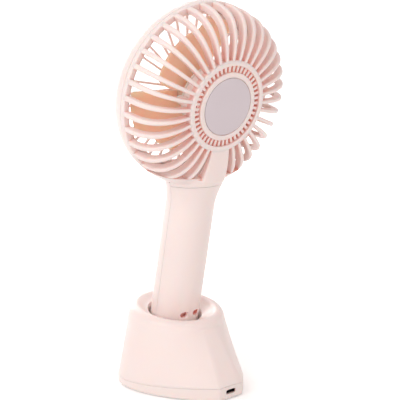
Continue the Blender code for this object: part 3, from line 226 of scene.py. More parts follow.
# colour, its darker shade, roughness, size of the grain in metres, its depth, polish where it is handled
finishNames = ("colour", "shade", "roughness", "grainSize", "grainDepth", "handling")
finishRows = {
    "blush_plastic": ((0.955, 0.84, 0.815), (0.945, 0.82, 0.79), 0.35, 0.00045, 0.10, 0.22),
    "peach_plastic": ((1.0, 0.68, 0.55), (1.0, 0.65, 0.52), 0.34, 0.0006, 0.06, 0.12),
    "lilac_label": ((0.71, 0.65, 0.69), (0.68, 0.62, 0.66), 0.42, 0.0003, 0.16, 0.2),
    "white_plastic": ((0.90, 0.86, 0.78), (0.86, 0.81, 0.72), 0.45, 0.0005, 0.12, 0.2),
    "milky_lens": ((0.85, 0.86, 0.84), (0.80, 0.82, 0.80), 0.22, 0.0008, 0.03, 0.1),
    "black_plastic": ((0.035, 0.034, 0.034), (0.022, 0.022, 0.022), 0.48, 0.0004, 0.25, 0.25),
    "grey_rubber": ((0.12, 0.11, 0.11), (0.085, 0.08, 0.08), 0.78, 0.0006, 0.5, 0.15),
    "white_foam": ((0.76, 0.76, 0.74), (0.62, 0.62, 0.60), 0.92, 0.0007, 1.0, 0.05),
    "green_board": ((0.03, 0.24, 0.10), (0.02, 0.17, 0.07), 0.40, 0.0011, 0.35, 0.15),
    "blue_cell_wrap": ((0.06, 0.21, 0.47), (0.045, 0.17, 0.39), 0.32, 0.0016, 0.12, 0.2),
    "wire_cover": ((0.56, 0.05, 0.04), (0.42, 0.035, 0.03), 0.45, 0.0009, 0.15, 0.2),
}
# light let through the plastic, and the deeper colour painted into its gaps as shade, within the given reach
# in metres
glowAndPaintedShade = {
    "blush_plastic": {"glow": 0.25, "glowDepth": 0.002, "paintedShadeColour": (0.96, 0.4, 0.32), "paintedShadeReach": 0.011},
    "peach_plastic": {"glow": 0.8, "glowDepth": 0.005, "paintedShadeColour": (0.98, 0.42, 0.28), "paintedShadeReach": 0.012},
    "milky_lens": {"glow": 0.5, "glowDepth": 0.001},
}
# colour, its darker shade, roughness, number of brush lines
metalNames = ("colour", "shade", "roughness", "lineCount")
metalRows = {
    "steel": ((0.66, 0.66, 0.67), (0.52, 0.52, 0.53), 0.30, 3500),
    "gilt_brass": ((0.86, 0.65, 0.28), (0.74, 0.52, 0.20), 0.24, 5000),
    # the cable inlet's steel, darkened to near black as painted shade inside its slot
    "steel_in_painted_shade": ((0.10, 0.10, 0.105), (0.06, 0.06, 0.065), 0.4, 3500),  # the cable inlet
}
materials = {}
for slot, row in finishRows.items():
    materials[slot] = plastic(slot, {**dict(zip(finishNames, row)), **glowAndPaintedShade.get(slot, {})})
for slot, row in metalRows.items():
    materials[slot] = metal(slot, dict(zip(metalNames, row)))
for part in frame["record"]["subparts"]:
    node = frame["nodes"][part["node"]]
    node.data.materials.clear()
    node.data.materials.append(materials[part["material_slot"]])
# the cable inlet gets the steel darkened as painted shade for the inside of its slot
frame["nodes"]["usb_inlet"].data.materials[0] = materials["steel_in_painted_shade"]
print("materials made:", len(materials))


# Shape tools


def blend(low, high, share):
    return low + (high - low) * share


def mirrored(half):
    # a section's left side, and the same points back down its right side
    return list(half) + [(-across, up) for across, up in reversed(half) if across < 0]


def superCircle(turn, power):
    # where a rounded square, or a circle at a power of 1, passes at this turn
    return [copysign(abs(value) ** power, value) for value in (cos(turn), sin(turn))]


def filleted(points, steps=4):
    # each point is (across, up) or (across, up, rounding), and no rounding takes up a whole edge
    path = []
    mostOfEdge = 0.48
    for i, point in enumerate(points):
        here = Vector(point[:2])
        radius = point[2] if len(point) > 2 else 0
        if radius == 0 or i in (0, len(points) - 1):
            path.append(here)
            continue
        before = Vector(points[i - 1][:2]) - here
        after = Vector(points[i + 1][:2]) - here
        reach = min(radius, before.length * mostOfEdge, after.length * mostOfEdge)
        start = here + before.normalized() * reach
        end = here + after.normalized() * reach
        for k in range(steps + 1):
            t = k / steps
            path.append(start * (1 - t) ** 2 + here * 2 * t * (1 - t) + end * t**2)
    return path


def closed(bm):
    bmesh.ops.holes_fill(bm, edges=[edge for edge in bm.edges if edge.is_boundary], sides=0)
    return bm


def turned(profile, segments, start=0.0, sweep=fullTurn):
    bm = bmesh.new()
    solid = max(abs(profile[0][0]), abs(profile[-1][0])) < tolerance["onAxis"]
    whole = sweep == fullTurn
    where = Matrix.Rotation(start, 3, "Z")
    points = [bm.verts.new(where @ Vector((p[0], 0, p[1]))) for p in profile]
    ends = points[1:] if solid else points[1:] + points[:1]
    edges = [bm.edges.new(pair) for pair in zip(points, ends)]
    bmesh.ops.spin(bm, geom=points + edges, cent=(0, 0, 0), axis=(0, 0, 1), angle=sweep, steps=segments,
                   use_merge=whole)
    bmesh.ops.remove_doubles(bm, verts=bm.verts, dist=tolerance["turnedWeld"])
    if not whole:
        closed(bm)
    bmesh.ops.recalc_face_normals(bm, faces=bm.faces)
    return bm


def lofted(rings):
    bm = bmesh.new()
    loops = [[bm.verts.new(point) for point in ring] for ring in rings]
    for low, high in zip(loops, loops[1:]):
        for i in range(len(low)):
            j = (i + 1) % len(low)
            bm.faces.new((low[i], low[j], high[j], high[i]))
    bm.faces.new(list(reversed(loops[0])))
    bm.faces.new(loops[-1])
    bmesh.ops.recalc_face_normals(bm, faces=bm.faces)
    return bm


def rod(radius, low, high, segments=32, at=(0, 0), turn=None):
    bm = bmesh.new()
    matrix = Matrix.Translation((*at, (low + high) / 2))
    if turn is not None:
        matrix = turn @ matrix
    bmesh.ops.create_cone(bm, cap_ends=True, segments=segments, radius1=radius, radius2=radius,
                          depth=high - low, matrix=matrix)
    return bm


def box(low, high):
    bm = bmesh.new()
    size = Vector(high) - Vector(low)
    middle = (Vector(high) + Vector(low)) / 2
    bmesh.ops.create_cube(bm, size=1, matrix=Matrix.Translation(middle) @ Matrix.Diagonal((*size, 1)))
    return bm


def moved(bm, matrix):
    bmesh.ops.transform(bm, matrix=matrix, verts=bm.verts)
    return bm


def gathered(*shapes):
    whole = bmesh.new()
    for shape in shapes:
        scrap = bpy.data.meshes.new("scrap")
        shape.to_mesh(scrap)
        whole.from_mesh(scrap)
        bpy.data.meshes.remove(scrap)
        shape.free()
    return whole


def slicedOff(bm, point, normal):
    bmesh.ops.bisect_plane(bm, geom=bm.verts[:] + bm.edges[:] + bm.faces[:], dist=tolerance["sliver"],
                           plane_co=point, plane_no=normal, clear_outer=True)
    return closed(bm)


def placed(name, data):
    obj = bpy.data.objects.new(name, data)
    bpy.context.scene.collection.objects.link(obj)
    return obj


def standIn(bm, name="cutter"):
    mesh = bpy.data.meshes.new(name)
    bm.to_mesh(mesh)
    bm.free()
    return placed(name, mesh)


def evaluatedMesh(obj):
    bpy.context.view_layer.update()
    graph = bpy.context.evaluated_depsgraph_get()
    return bpy.data.meshes.new_from_object(obj.evaluated_get(graph))


def unpacked(mesh):
    bm = bmesh.new()
    bm.from_mesh(mesh)
    bpy.data.meshes.remove(mesh)
    return bm


def dropped(*objects):
    for obj in objects:
        mesh = obj.data
        bpy.data.objects.remove(obj, do_unlink=True)
        if mesh.users == 0:
            bpy.data.meshes.remove(mesh)


def shaped(bm, add=(), cut=()):
    base = standIn(bm, "base")
    others = []
    for operation, shape in [("UNION", part) for part in add] + [("DIFFERENCE", part) for part in cut]:
        other = standIn(shape)
        modifier = base.modifiers.new(operation, "BOOLEAN")
        modifier.operation = operation
        modifier.object = other
        others.append(other)
    mesh = evaluatedMesh(base)
    dropped(base, *others)
    return unpacked(mesh)


def addPiece(name, bm, place, slot, body, nodes):
    bmesh.ops.remove_doubles(bm, verts=bm.verts, dist=tolerance["pieceWeld"])
    bmesh.ops.dissolve_degenerate(bm, edges=bm.edges, dist=tolerance["sliver"])
    obj = standIn(bm, name)
    mesh = obj.data
    mesh.transform(place)
    mesh.shade_smooth()
    mesh.set_sharp_from_angle(angle=radians(tolerance["sharpAngle"]))
    mesh.materials.clear()
    mesh.materials.append(materials[slot])
    mesh.polygons.foreach_set("material_index", [0] * len(mesh.polygons))
    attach(obj, body)
    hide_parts(*nodes)
    return obj


# Geometry Nodes: one shape repeated round the fan's axis


def buildRoundTheAxis():
    tree = bpy.data.node_groups.new("roundTheAxis", "GeometryNodeTree")
    sockets = {"Geometry": "Geometry", "Count": "Int", "First Turn": "Float", "Bare Half Turn": "Float",
               "Finish": "Material"}
    for label, kind in sockets.items():
        tree.interface.new_socket(label, in_out="INPUT", socket_type="NodeSocket" + kind)
    tree.interface.new_socket("Geometry", in_out="OUTPUT", socket_type="NodeSocketGeometry")
    given = tree.nodes.new("NodeGroupInput").outputs
    points = addNode(tree, "GeometryNodePoints", {"Count": given["Count"]})
    index = tree.nodes.new("GeometryNodeInputIndex").outputs[0]
    turn = mathNode(tree, "MULTIPLY", index, mathNode(tree, "DIVIDE", fullTurn, given["Count"]))
    turn = mathNode(tree, "ADD", turn, given["First Turn"])
    fromNeck = mathNode(tree, "WRAP", mathNode(tree, "SUBTRACT", turn, pi / 2), pi, -pi)
    eitherWay = mathNode(tree, "ABSOLUTE", fromNeck)
    free = addNode(tree, "FunctionNodeCompare", {0: eitherWay, 1: given["Bare Half Turn"]},
                   operation="GREATER_THAN")
    euler = addNode(tree, "ShaderNodeCombineXYZ", {"Z": turn})
    rotation = addNode(tree, "FunctionNodeEulerToRotation", {0: euler.outputs[0]})
    place = addNode(tree, "GeometryNodeInstanceOnPoints", {
        "Points": points.outputs[0],
        "Selection": free.outputs[0],
        "Instance": given["Geometry"],
        "Rotation": rotation.outputs[0],
    })
    real = addNode(tree, "GeometryNodeRealizeInstances", {0: place.outputs[0]})
    finished = {"Geometry": real.outputs[0], "Material": given["Finish"]}
    paint = addNode(tree, "GeometryNodeSetMaterial", finished)
    feed(tree, tree.nodes.new("NodeGroupOutput"), {0: paint.outputs[0]})
    return tree


roundTheAxis = buildRoundTheAxis()


def repeatedRound(bm, count, firstTurn=0.0, bareHalfTurn=-1.0, slot="blush_plastic"):
    # copies less than bareHalfTurn from the neck are left out, below zero none is
    obj = standIn(bm, "repeated")
    modifier = obj.modifiers.new("round the axis", "NODES")
    modifier.node_group = roundTheAxis
    values = {
        "Count": count, "First Turn": firstTurn, "Bare Half Turn": bareHalfTurn, "Finish": materials[slot],
    }
    for item in roundTheAxis.interface.items_tree:
        if item.in_out == "INPUT" and item.name in values:
            modifier[item.identifier] = values[item.name]
    mesh = evaluatedMesh(obj)
    dropped(obj)
    return unpacked(mesh)


# Handle


def flare(height):
    rise = max(0.0, height - layout["flareStart"]) / layout["flareRise"]
    return layout["flareOut"] * rise ** layout["flarePower"]


def handleWall(top, steps=16):
    foot = layout["shellFoot"]
    radius = layout["handleRadius"]
    profile = [(layout["handleInner"], top), (layout["handleInner"], foot)]
    profile += [(radius - inwards, foot + upwards) for inwards, upwards in layout["footRounding"]]
    low = layout["flareStart"]
    for k in range(steps + 1):
        height = blend(low, top, k / steps)
        profile.append((radius + flare(height), height))
    return profile


def halfHandle(top, start):
    holdBack = layout["seam"] / 2 / layout["handleRadius"]
    return turned(handleWall(top), layout["handleSegments"], start + holdBack, pi - 2 * holdBack)


rearCover = {
    "holeHeight": 41.4,  # along the handle's axis
    "holeWide": 3.8, "holeTall": 2.9,
    "barWide": 4.2,
    "holeDepth": 2.7,
    "passageTall": 1.2,
    "podFloor": 0.8, "podEnds": 1.4, "podSides": 1.2, "podOverlap": 0.4,
    "mouthSteps": ((0.0, -1.1), (0.12, -0.5), (0.4, -0.1), (1.1, 0.45), (1.6, 1.5)),  # wider by, outwards
}


def ovalRing(middleX, middleZ, wide, tall, y, power=0.75, corners=40):
    ring = []
    for k in range(corners):
        across, along = superCircle(fullTurn * (k + 0.5) / corners, power)
        ring.append((middleX + across * wide / 2, y, middleZ + along * tall / 2))
    return ring


def rearSector(inner, outer, low, high, reach, segments=32):
    spread = asin(reach / outer)
    profile = [(inner, low), (outer, low), (outer, high), (inner, high)]
    return turned(profile, segments, pi / 2 - spread, 2 * spread)


def buildRearCover(size):
    radius = layout["handleRadius"]
    top = layout["neckJoint"] + layout["jointSlope"] * (radius + layout["flareOut"])
    shell = halfHandle(top, 0.0)
    joint = Vector((0, 0, layout["neckJoint"] - layout["seam"]))
    slicedOff(shell, joint, Vector((0, -layout["jointSlope"], 1)).normalized())
    floor = radius - size["holeDepth"]
    low = size["holeHeight"] - size["holeTall"] / 2
    high = size["holeHeight"] + size["holeTall"] / 2
    side = size["barWide"] / 2 + size["holeWide"]
    podOuter = layout["handleInner"] + size["podOverlap"]
    pod = rearSector(floor - size["podFloor"], podOuter, low - size["podEnds"], high + size["podEnds"],
                     side + size["podSides"])
    passage = rearSector(floor, floor + size["passageTall"], low, high, side)
    holes = []
    for sign in (-1, 1):
        x = sign * (size["barWide"] + size["holeWide"]) / 2
        face = sqrt(radius**2 - x**2)
        rings = [ovalRing(x, size["holeHeight"], size["holeWide"], size["holeTall"], floor - 0.4)]
        for wider, out in size["mouthSteps"]:
            wide, tall = size["holeWide"] + wider, size["holeTall"] + wider
            rings.append(ovalRing(x, size["holeHeight"], wide, tall, face + out))
        holes.append(lofted(rings))
    cover = shaped(shell, add=[pod], cut=[passage, gathered(*holes)])
    addPiece("rearCover", cover, fanPlace, "blush_plastic", "fan", ["rear_handle_cover"])


buildRearCover(rearCover)
print("rear cover made")


# Front ring with the handle's front half

frontRing = {
    "outerRadius": 47.3,
    "frontRadius": 41.6,
    "rimPlane": -4.0,
    "back": -6.9,
    "front": -16.6,
    "innerRadius": 45.2,
    "ledgeRadius": 41.2,
    "lipInner": 39.6, "lipBack": -15.2, "lipRound": 0.5, "lipEdge": 0.2, "lipOverlap": 0.3,
    "grilleBack": -12.6,
    "spigotRoom": -10.3,
    "roundness": 2.2,
    "seamSoftness": (0.12, 0.15),  # inwards, forwards
    "handleOverlap": 1.2,
    "clearRear": 18.0,
    "buttonHeight": 103.3, "buttonHole": 4.7,
    "wayStart": 5,  # from the handle's axis
    "mouthDrop": 0.35, "mouthRound": 0.5, "mouthWider": 1.2, "mouthRise": 0.9,
    "lightHeight": 109.9, "lightHole": 1.3,
}


def ringOutside(size, steps=26):
    length = size["rimPlane"] - size["front"]
    start = asin((size["rimPlane"] - size["back"]) / length)
    points = []
    for k in range(steps + 1):
        along = sin(start + (pi / 2 - start) * k / steps)
        across = max(0.0, 1 - along ** size["roundness"]) ** (1 / size["roundness"])
        radius = blend(size["frontRadius"], size["outerRadius"], across)
        points.append((radius, size["rimPlane"] - length * along))
    return points


def buttonWay(size):
    face = layout["handleRadius"]
    way = turned(filleted([
        (0, size["wayStart"]),
        (size["buttonHole"], size["wayStart"]),
        (size["buttonHole"], face - size["mouthDrop"], size["mouthRound"]),
        (size["buttonHole"] + size["mouthWider"], face + size["mouthRise"]),
        (0, face + size["mouthRise"]),
    ]), 64)
    return moved(way, Matrix.Translation((0, 0, size["buttonHeight"])) @ towardsFront)


def lightWay(size):
    # long enough to come out through the flared neck and the ring
    end = layout["handleRadius"] + 8
    return rod(size["lightHole"], size["wayStart"], end, 32, (0, size["lightHeight"]), towardsFront)


def buildFrontRing(size):
    ledge = size["ledgeRadius"]
    wall = [(ledge, size["grilleBack"]), (size["innerRadius"], size["spigotRoom"]),
            (size["innerRadius"], size["back"])]
    inside = filleted([
        (size["frontRadius"], size["front"]),
        (size["lipInner"], size["front"], size["lipRound"]),
        (size["lipInner"], size["lipBack"], size["lipEdge"]),
        (ledge, size["lipBack"]),
        *wall,
    ])
    outside = ringOutside(size)
    inwards, forwards = size["seamSoftness"]
    edgeRadius, edgeDepth = outside[0]
    outside[:1] = [(edgeRadius - inwards, edgeDepth), (edgeRadius, edgeDepth - forwards)]
    ring = moved(turned(outside + [tuple(p) for p in inside[1:]], ringSegments), headInFan)
    handle = halfHandle(layout["headHeight"] - size["innerRadius"] + size["handleOverlap"], pi)
    clear = size["outerRadius"] + layout["gap"]
    front = size["lipBack"] + size["lipOverlap"]
    hollow = moved(turned([
        (0, front),
        (ledge, front),
        *wall,
        (clear, size["back"]),
        (clear, size["clearRear"]),
        (0, size["clearRear"]),
    ], ringSegments), headInFan)
    handle = shaped(handle, cut=[hollow, buttonWay(size), lightWay(size)])
    ring = shaped(ring, add=[handle], cut=[lightWay(size)])
    addPiece("frontHousing", ring, fanPlace, "blush_plastic", "fan", ["front_housing"])


buildFrontRing(frontRing)
print("front ring made")


# Ribbed cage

cage = {
    "radius": 47.3,
    "depth": 22.1,
    "rimPlane": -4.0, "rimFront": -6.6, "rimRound": 0.7,
    "seamRound": 0.25,
    "softEdge": 0.4,
    "crispEdge": 0.3,
    "bandInner": 44.7,
    "spigotInner": 43.4, "spigotOuter": 44.9, "spigotFront": -9.6, "spigotSlope": 0.8,
    "roundness": 2.6,
    "hubRadius": 23.5, "hubRingDepth": 4.2, "hubRound": 1.0, "hubBackRound": 0.6, "hubSegments": 160,
    "ribCount": 36,
    "ribSwirl": 1.8,  # degrees from rim to hub
    "ribWideRim": 2.9, "ribWideHub": 1.9, "ribDeepRim": 3.2, "ribDeepHub": 4.4, "ribSinkRim": 0.1,
    "ribSinkHub": 0.25, "ribRoot": 1.2,
    "ribSide": ((-0.36, 1.0), (-0.41, 0.7), (-0.47, 0.42), (-0.49, 0.27), (-0.45, 0.13), (-0.34, 0.045),
                (-0.18, 0.01), (0.0, 0.0)),  # share of its width, share of its depth
    "ribFoot": ((0.2, 1.05), (-0.2, 1.05)),
    "discThick": 1.9, "discRound": 0.55,
    "ventInner": 17.5, "ventOuter": 20.8, "ventCount": 46, "ventSlot": 1.1, "ventRecess": 1.1,
    "ventDeep": 1.5,
    "finSide": ((-1, -2.4), (-1, -0.25), (-0.86, -0.06), (-0.6, 0.0)),
    "finOverlap": 0.3,
    "plateRadius": 14.6, "plateThick": 0.4, "plateRound": 0.25, "plateGroove": 0.3,
    "grooveDeep": 0.7, "grooveRound": 0.2,
    "cupInner": 14.4, "cupOuter": 16.1, "cupFront": 2.2,
    "bossPlace": 16.8, "bossRadius": 2.3, "bossShort": 0.6,
    "ductWideHub": 11.4, "ductWideNeck": 15.6, "ductOverlap": 1.2,
    "ductPast": 3.5,  # how far it runs on into the apron
    "ductSink": 0.4, "ductDip": 0.35, "ductDeepens": 4,
    "ductSide": ((-1, 0.9), (-0.985, 0.5), (-0.95, 0.22), (-0.88, 0.05), (-0.75, 0), (-0.5, 0), (-0.25, 0),
                 (0, 0)),  # share of its half width, drop
    "apronRise": 9.3, "apronWall": 3.0, "apronSink": 0.05, "apronFoot": 1.2,
    "collarShort": 0.9, "collarBelow": 2,
    "roomBeside": 0.2, "roomBelow": 8,
}
hubPlane = cage["rimPlane"] + cage["depth"]


def dome(share, inset=0.0):
    turn = pi / 2 * share
    reach = cage["radius"] - cage["hubRadius"]
    power = 2 / cage["roundness"]
    across = cos(turn) ** power if share < 1 else 0.0
    along = sin(turn) ** power
    slopeOut = across ** (cage["roundness"] - 1) / reach
    slopeBack = along ** (cage["roundness"] - 1) / cage["depth"]
    length = hypot(slopeOut, slopeBack)
    radius = cage["hubRadius"] + reach * across - inset * slopeOut / length
    return radius, cage["rimPlane"] + cage["depth"] * along - inset * slopeBack / length


def ribShape(steps=26):
    section = mirrored(cage["ribSide"]) + list(cage["ribFoot"])
    rings = []
    for step in range(-1, steps + 2):
        share = min(max(step, 0), steps) / steps
        radius, depth = dome(share)
        innerRadius, innerDepth = dome(share, 1.0)
        out = Vector((radius - innerRadius, depth - innerDepth))
        if step < 0:
            depth -= cage["ribRoot"]
        if step > steps:
            radius -= cage["ribRoot"]
        wide = blend(cage["ribWideRim"], cage["ribWideHub"], share)
        deep = blend(cage["ribDeepRim"], cage["ribDeepHub"], sin(pi / 2 * share))
        sink = blend(cage["ribSinkRim"], cage["ribSinkHub"], share)
        turn = -radians(cage["ribSwirl"]) * (1 - share)
        side = Vector((sin(turn), -cos(turn), 0))
        ring = []
        for across, below in section:
            drop = below * deep + sink
            far = radius - drop * out.x
            spot = Vector((far * cos(turn), far * sin(turn), depth - drop * out.y))
            ring.append(spot + side * across * wide)
        rings.append(ring)
    return lofted(rings)


def rimShape():
    front, soft, crisp = cage["rimFront"], cage["softEdge"], cage["crispEdge"]
    inner, outer, rim, back = cage["spigotInner"], cage["spigotOuter"], cage["radius"], cage["rimPlane"]
    return turned(filleted([
        (outer, front),
        (rim, front, cage["seamRound"]),
        (rim, back, cage["rimRound"]),
        (cage["bandInner"], back, soft),
        (inner, back - cage["spigotSlope"], soft),
        (inner, cage["spigotFront"], crisp),
        (outer, cage["spigotFront"], crisp),
        (outer, front),
    ])[:-1], ringSegments)


def hubShapes():
    soft, crisp = cage["softEdge"], cage["crispEdge"]
    floor = hubPlane - cage["ventRecess"]
    under = floor - cage["ventDeep"]
    inside = hubPlane - cage["discThick"]
    ringBack = hubPlane - cage["hubRingDepth"]
    groove = cage["plateRadius"] + cage["plateGroove"]
    disc = turned(filleted([
        (0, hubPlane - cage["grooveDeep"]),
        (groove, hubPlane - cage["grooveDeep"]),
        (groove, hubPlane, cage["grooveRound"]),
        (cage["ventInner"], hubPlane, cage["discRound"]),
        (cage["ventInner"], under),
        (cage["cupOuter"], under),
        (cage["cupOuter"], cage["cupFront"], crisp),
        (cage["cupInner"], cage["cupFront"], crisp),
        (cage["cupInner"], inside),
        (0, inside),
    ]), cage["hubSegments"])
    outer = turned(filleted([
        (cage["ventOuter"], under),
        (cage["ventOuter"], hubPlane, soft),
        (cage["hubRadius"], hubPlane, cage["hubRound"]),
        (cage["hubRadius"], ringBack, cage["hubBackRound"]),
        (cage["ventOuter"], ringBack, crisp),
        (cage["ventOuter"], under),
    ])[:-1], cage["hubSegments"])
    fin = []
    for radius in (cage["ventInner"] - cage["finOverlap"], cage["ventOuter"] + cage["finOverlap"]):
        half = (fullTurn / cage["ventCount"] * radius - cage["ventSlot"]) / 2
        fin.append([(radius, y * half, floor + z) for y, z in mirrored(cage["finSide"])])
    fins = repeatedRound(lofted(fin), cage["ventCount"])
    bossTop = floor - cage["bossShort"]
    bosses = [rod(cage["bossRadius"], cage["cupFront"], bossTop, 24, (side * cage["bossPlace"], 0))
              for side in (-1, 1)]
    return [disc, outer, fins, *bosses]


def ductShape(steps=24):
    start = cage["hubRadius"] - cage["ductOverlap"]
    length = cage["radius"] - cage["apronRise"] + cage["ductPast"] - cage["hubRadius"]
    neckRadius = layout["handleRadius"] + layout["flareOut"]
    rings = []
    for k in range(steps + 1):
        share = k / steps
        y = start + length * share
        top = hubPlane - cage["ductSink"] - cage["ductDip"] * share**3
        half = blend(cage["ductWideHub"], cage["ductWideNeck"], share) / 2
        low = hubPlane - cage["hubRingDepth"] - cage["ductDeepens"] * share**2
        roundBack = share**2 / (2 * neckRadius)
        ring = [(-half, y, low)]
        for place, drop in mirrored(cage["ductSide"]):
            x = place * half
            ring.append((x, y, top - drop - x * x * roundBack))
        ring.append((half, y, low))
        rings.append(ring)
    return moved(lofted(rings), headInFan)


def apronShape(steps=24):
    curve = [dome(k / steps, cage["apronSink"]) for k in range(steps + 1)]
    foot = cage["rimPlane"] - cage["apronFoot"]
    apron = turned([(0, foot), (curve[0][0], foot), *curve, (0, curve[-1][1])], ringSegments)
    slicedOff(apron, Vector((0, cage["radius"] - cage["apronRise"], 0)), Vector((0, -1, 0)))
    return moved(apron, headInFan)


def collarShape(steps=16):
    top = layout["headHeight"] - cage["radius"] + cage["apronRise"] - cage["collarShort"]
    low = layout["neckJoint"] - cage["collarBelow"]
    heights = [blend(low, top, k / steps) for k in range(steps + 1)]
    wall = [(layout["handleRadius"] + flare(height), height) for height in heights]
    collar = turned([(0, low), *wall, (0, top)], layout["handleSegments"], 0.0, pi)
    slicedOff(collar, Vector((0, layout["seam"] / 2, 0)), Vector((0, -1, 0)))
    downwards = Vector((0, layout["jointSlope"], -1)).normalized()
    return slicedOff(collar, Vector((0, 0, layout["neckJoint"])), downwards)


def neckRoom(steps=16):
    curve = [dome(k / steps, cage["apronWall"]) for k in range(1, steps + 1)]
    clear = cage["spigotInner"] + cage["roomBeside"]
    front = cage["spigotFront"] - cage["roomBelow"]
    rim = cage["rimPlane"] - cage["softEdge"]
    room = turned([(0, front), (clear, front), (clear, rim), *curve, (0, curve[-1][1])], ringSegments)
    return moved(room, headInFan)


def buildCage():
    ductHalf = atan2((cage["ductWideHub"] + cage["ribWideHub"]) / 2, cage["hubRadius"])
    ribs = repeatedRound(ribShape(), cage["ribCount"], 0.0, ductHalf)
    head = moved(gathered(rimShape(), *hubShapes(), ribs), headInFan)
    neck = shaped(apronShape(), add=[collarShape(), ductShape()], cut=[neckRoom()])
    addPiece("ribbedCage", gathered(head, neck), fanPlace, "blush_plastic", "fan", ["rear_cage"])
    plateBack = hubPlane - cage["plateThick"]
    plate = turned(filleted([
        (0, hubPlane),
        (cage["plateRadius"], hubPlane, cage["plateRound"]),
        (cage["plateRadius"], plateBack),
        (0, plateBack),
    ]), 128)
    addPiece("rearPlate", moved(plate, headInFan), fanPlace, "lilac_label", "fan", ["label_disc"])


buildCage()
print("cage made")


# Front grille

guard = {
    "radius": 40.9,
    "front": -14.9,
    "back": -12.9,
    "rimWide": 2.2, "rimRound": 0.5,
    "edgeRound": 0.3,
    "overlap": 0.8,
    "capRadius": 10.5, "capRise": 0.75,
    "capGroove": ((2.6, 0.72), (2.2, 0.45), (1.8, 0.6)),  # inwards, rise
    "capEdge": 0.4, "capRound": 0.7,
    "spokeCount": 36, "spokeWide": 1.1, "spokeTall": 1.7, "spokeSquareness": 0.7, "spokeCorners": 12,
}


def buildGuard(size):
    inner = size["radius"] - size["rimWide"]
    front, back, edge = size["front"], size["back"], size["edgeRound"]
    rim = turned(filleted([
        (inner + 1.0, back),
        (size["radius"], back, edge),
        (size["radius"], front, edge),
        (inner, front, size["rimRound"]),
        (inner, back, size["rimRound"]),
        (inner + 1.0, back),
    ])[:-1], 160)
    cap = turned(filleted([
        (0, front - size["capRise"]),
        *[(size["capRadius"] - inwards, front - rise, edge) for inwards, rise in size["capGroove"]],
        (size["capRadius"], front - size["capEdge"], size["capRound"]),
        (size["capRadius"], back, size["capEdge"]),
        (0, back),
    ]), 120)
    bar = []
    for x in (size["capRadius"] - size["overlap"], inner + size["overlap"]):
        ring = []
        for k in range(size["spokeCorners"]):
            across, along = superCircle(fullTurn * (k + 0.5) / size["spokeCorners"], size["spokeSquareness"])
            ring.append((x, across * size["spokeWide"] / 2, (front + back + along * size["spokeTall"]) / 2))
        bar.append(ring)
    spokes = repeatedRound(lofted(bar), size["spokeCount"])
    grille = moved(gathered(rim, cap, spokes), headInFan)
    addPiece("frontGuard", grille, fanPlace, "blush_plastic", "fan", ["front_grille"])


buildGuard(guard)
print("front guard made")


# Impeller

wheel = {
    "hubRadius": 10.5, "hubWall": 1.6, "hubFront": -10.8, "hubRear": -0.4,
    "edgeRound": 0.25,
    "bossRadius": 2.7, "bossRound": 0.5,
    "boreRadius": 1.3,
    "bladeCount": 3,
    "bladeStart": 3.5,  # degrees
    "bladeSweep": 112.0, "bladeFront": -10.0, "bladeRear": -1.9, "bladeReach": 39.3,
    "bladeWaist": (33.0, 31.0), "bladeRoot": 11.5,
    "cornerCut": 1.2,
    "bladeStops": (0.03, 0.25, 0.37, 0.93),  # shares of the sweep: corner, lobe, waist, last edge
    "bladeThick": 1.2, "bladeCup": 0.9,
    "edgeThin": 0.45, "edgeGrowth": 8,
    "tipStart": 0.9, "tipThin": 0.4,
    "denseStart": 0.85,
}


def quarterCircle(share):
    return sqrt(max(0.0, 1 - share**2))


def bladeReach(share):
    tip = wheel["bladeReach"]
    corner, lobe, waist, last = wheel["bladeStops"]
    waistStart, waistEnd = wheel["bladeWaist"]
    if share < corner:
        return tip - wheel["cornerCut"] * (1 - quarterCircle(1 - share / corner))
    if share <= lobe:
        return tip
    if share < waist:
        t = (share - lobe) / (waist - lobe)
        return blend(tip, waistStart, t * t * (3 - 2 * t))
    if share <= last:
        return blend(waistStart, waistEnd, (share - waist) / (last - waist))
    return blend(wheel["bladeRoot"], waistEnd, quarterCircle((share - last) / (1 - last)))


def bladeShape(sections=64, stations=14):
    root = wheel["hubRadius"] - wheel["hubWall"] / 2
    dense, tip = wheel["denseStart"], wheel["tipStart"]
    places = [sin(pi / 2 * k / stations) for k in range(stations + 1)]
    rings = []
    for i in range(sections + 1):
        share = i / sections
        if share >= dense:
            share = blend(dense, 1, sin((share - dense) / (1 - dense) * pi / 2))
        angle = -radians(wheel["bladeSweep"]) * share
        depth = blend(wheel["bladeFront"], wheel["bladeRear"], share)
        edge = min(1.0, wheel["edgeThin"] + wheel["edgeGrowth"] * min(share, 1 - share))
        reach = bladeReach(share)
        ring = []
        for side, row in ((0.5, places), (-0.5, reversed(places))):
            for place in row:
                thin = max(wheel["tipThin"], quarterCircle(max(0.0, (place - tip) / (1 - tip))))
                thick = wheel["bladeThick"] * side * edge * thin
                cup = wheel["bladeCup"] * sin(pi * place) * (1 - share) * edge
                radius = blend(root, reach, place)
                ring.append((radius * cos(angle), -radius * sin(angle), depth + thick - cup))
        rings.append(ring)
    return lofted(rings)


def buildWheel(size):
    inner = size["hubRadius"] - size["hubWall"]
    front, rear, edge = size["hubFront"], size["hubRear"], size["edgeRound"]
    wall = front + size["hubWall"]
    hub = turned(filleted([
        (0, front),
        (size["hubRadius"], front, size["hubWall"]),
        (size["hubRadius"], rear, edge),
        (inner, rear, edge),
        (inner, wall, size["hubWall"] / 2),
        (size["bossRadius"], wall, size["bossRound"]),
        (size["bossRadius"], rear, edge),
        (size["boreRadius"], rear),
        (size["boreRadius"], wall),
        (0, wall),
    ]), 96)
    firstTurn = -radians(size["bladeStart"])
    blades = repeatedRound(bladeShape(), size["bladeCount"], firstTurn, slot="peach_plastic")
    whole = moved(gathered(hub, blades), headInFan)
    addPiece("fanWheel", whole, fanPlace, "peach_plastic", "impeller", ["impeller"])


buildWheel(wheel)
print("impeller made")


# Dock

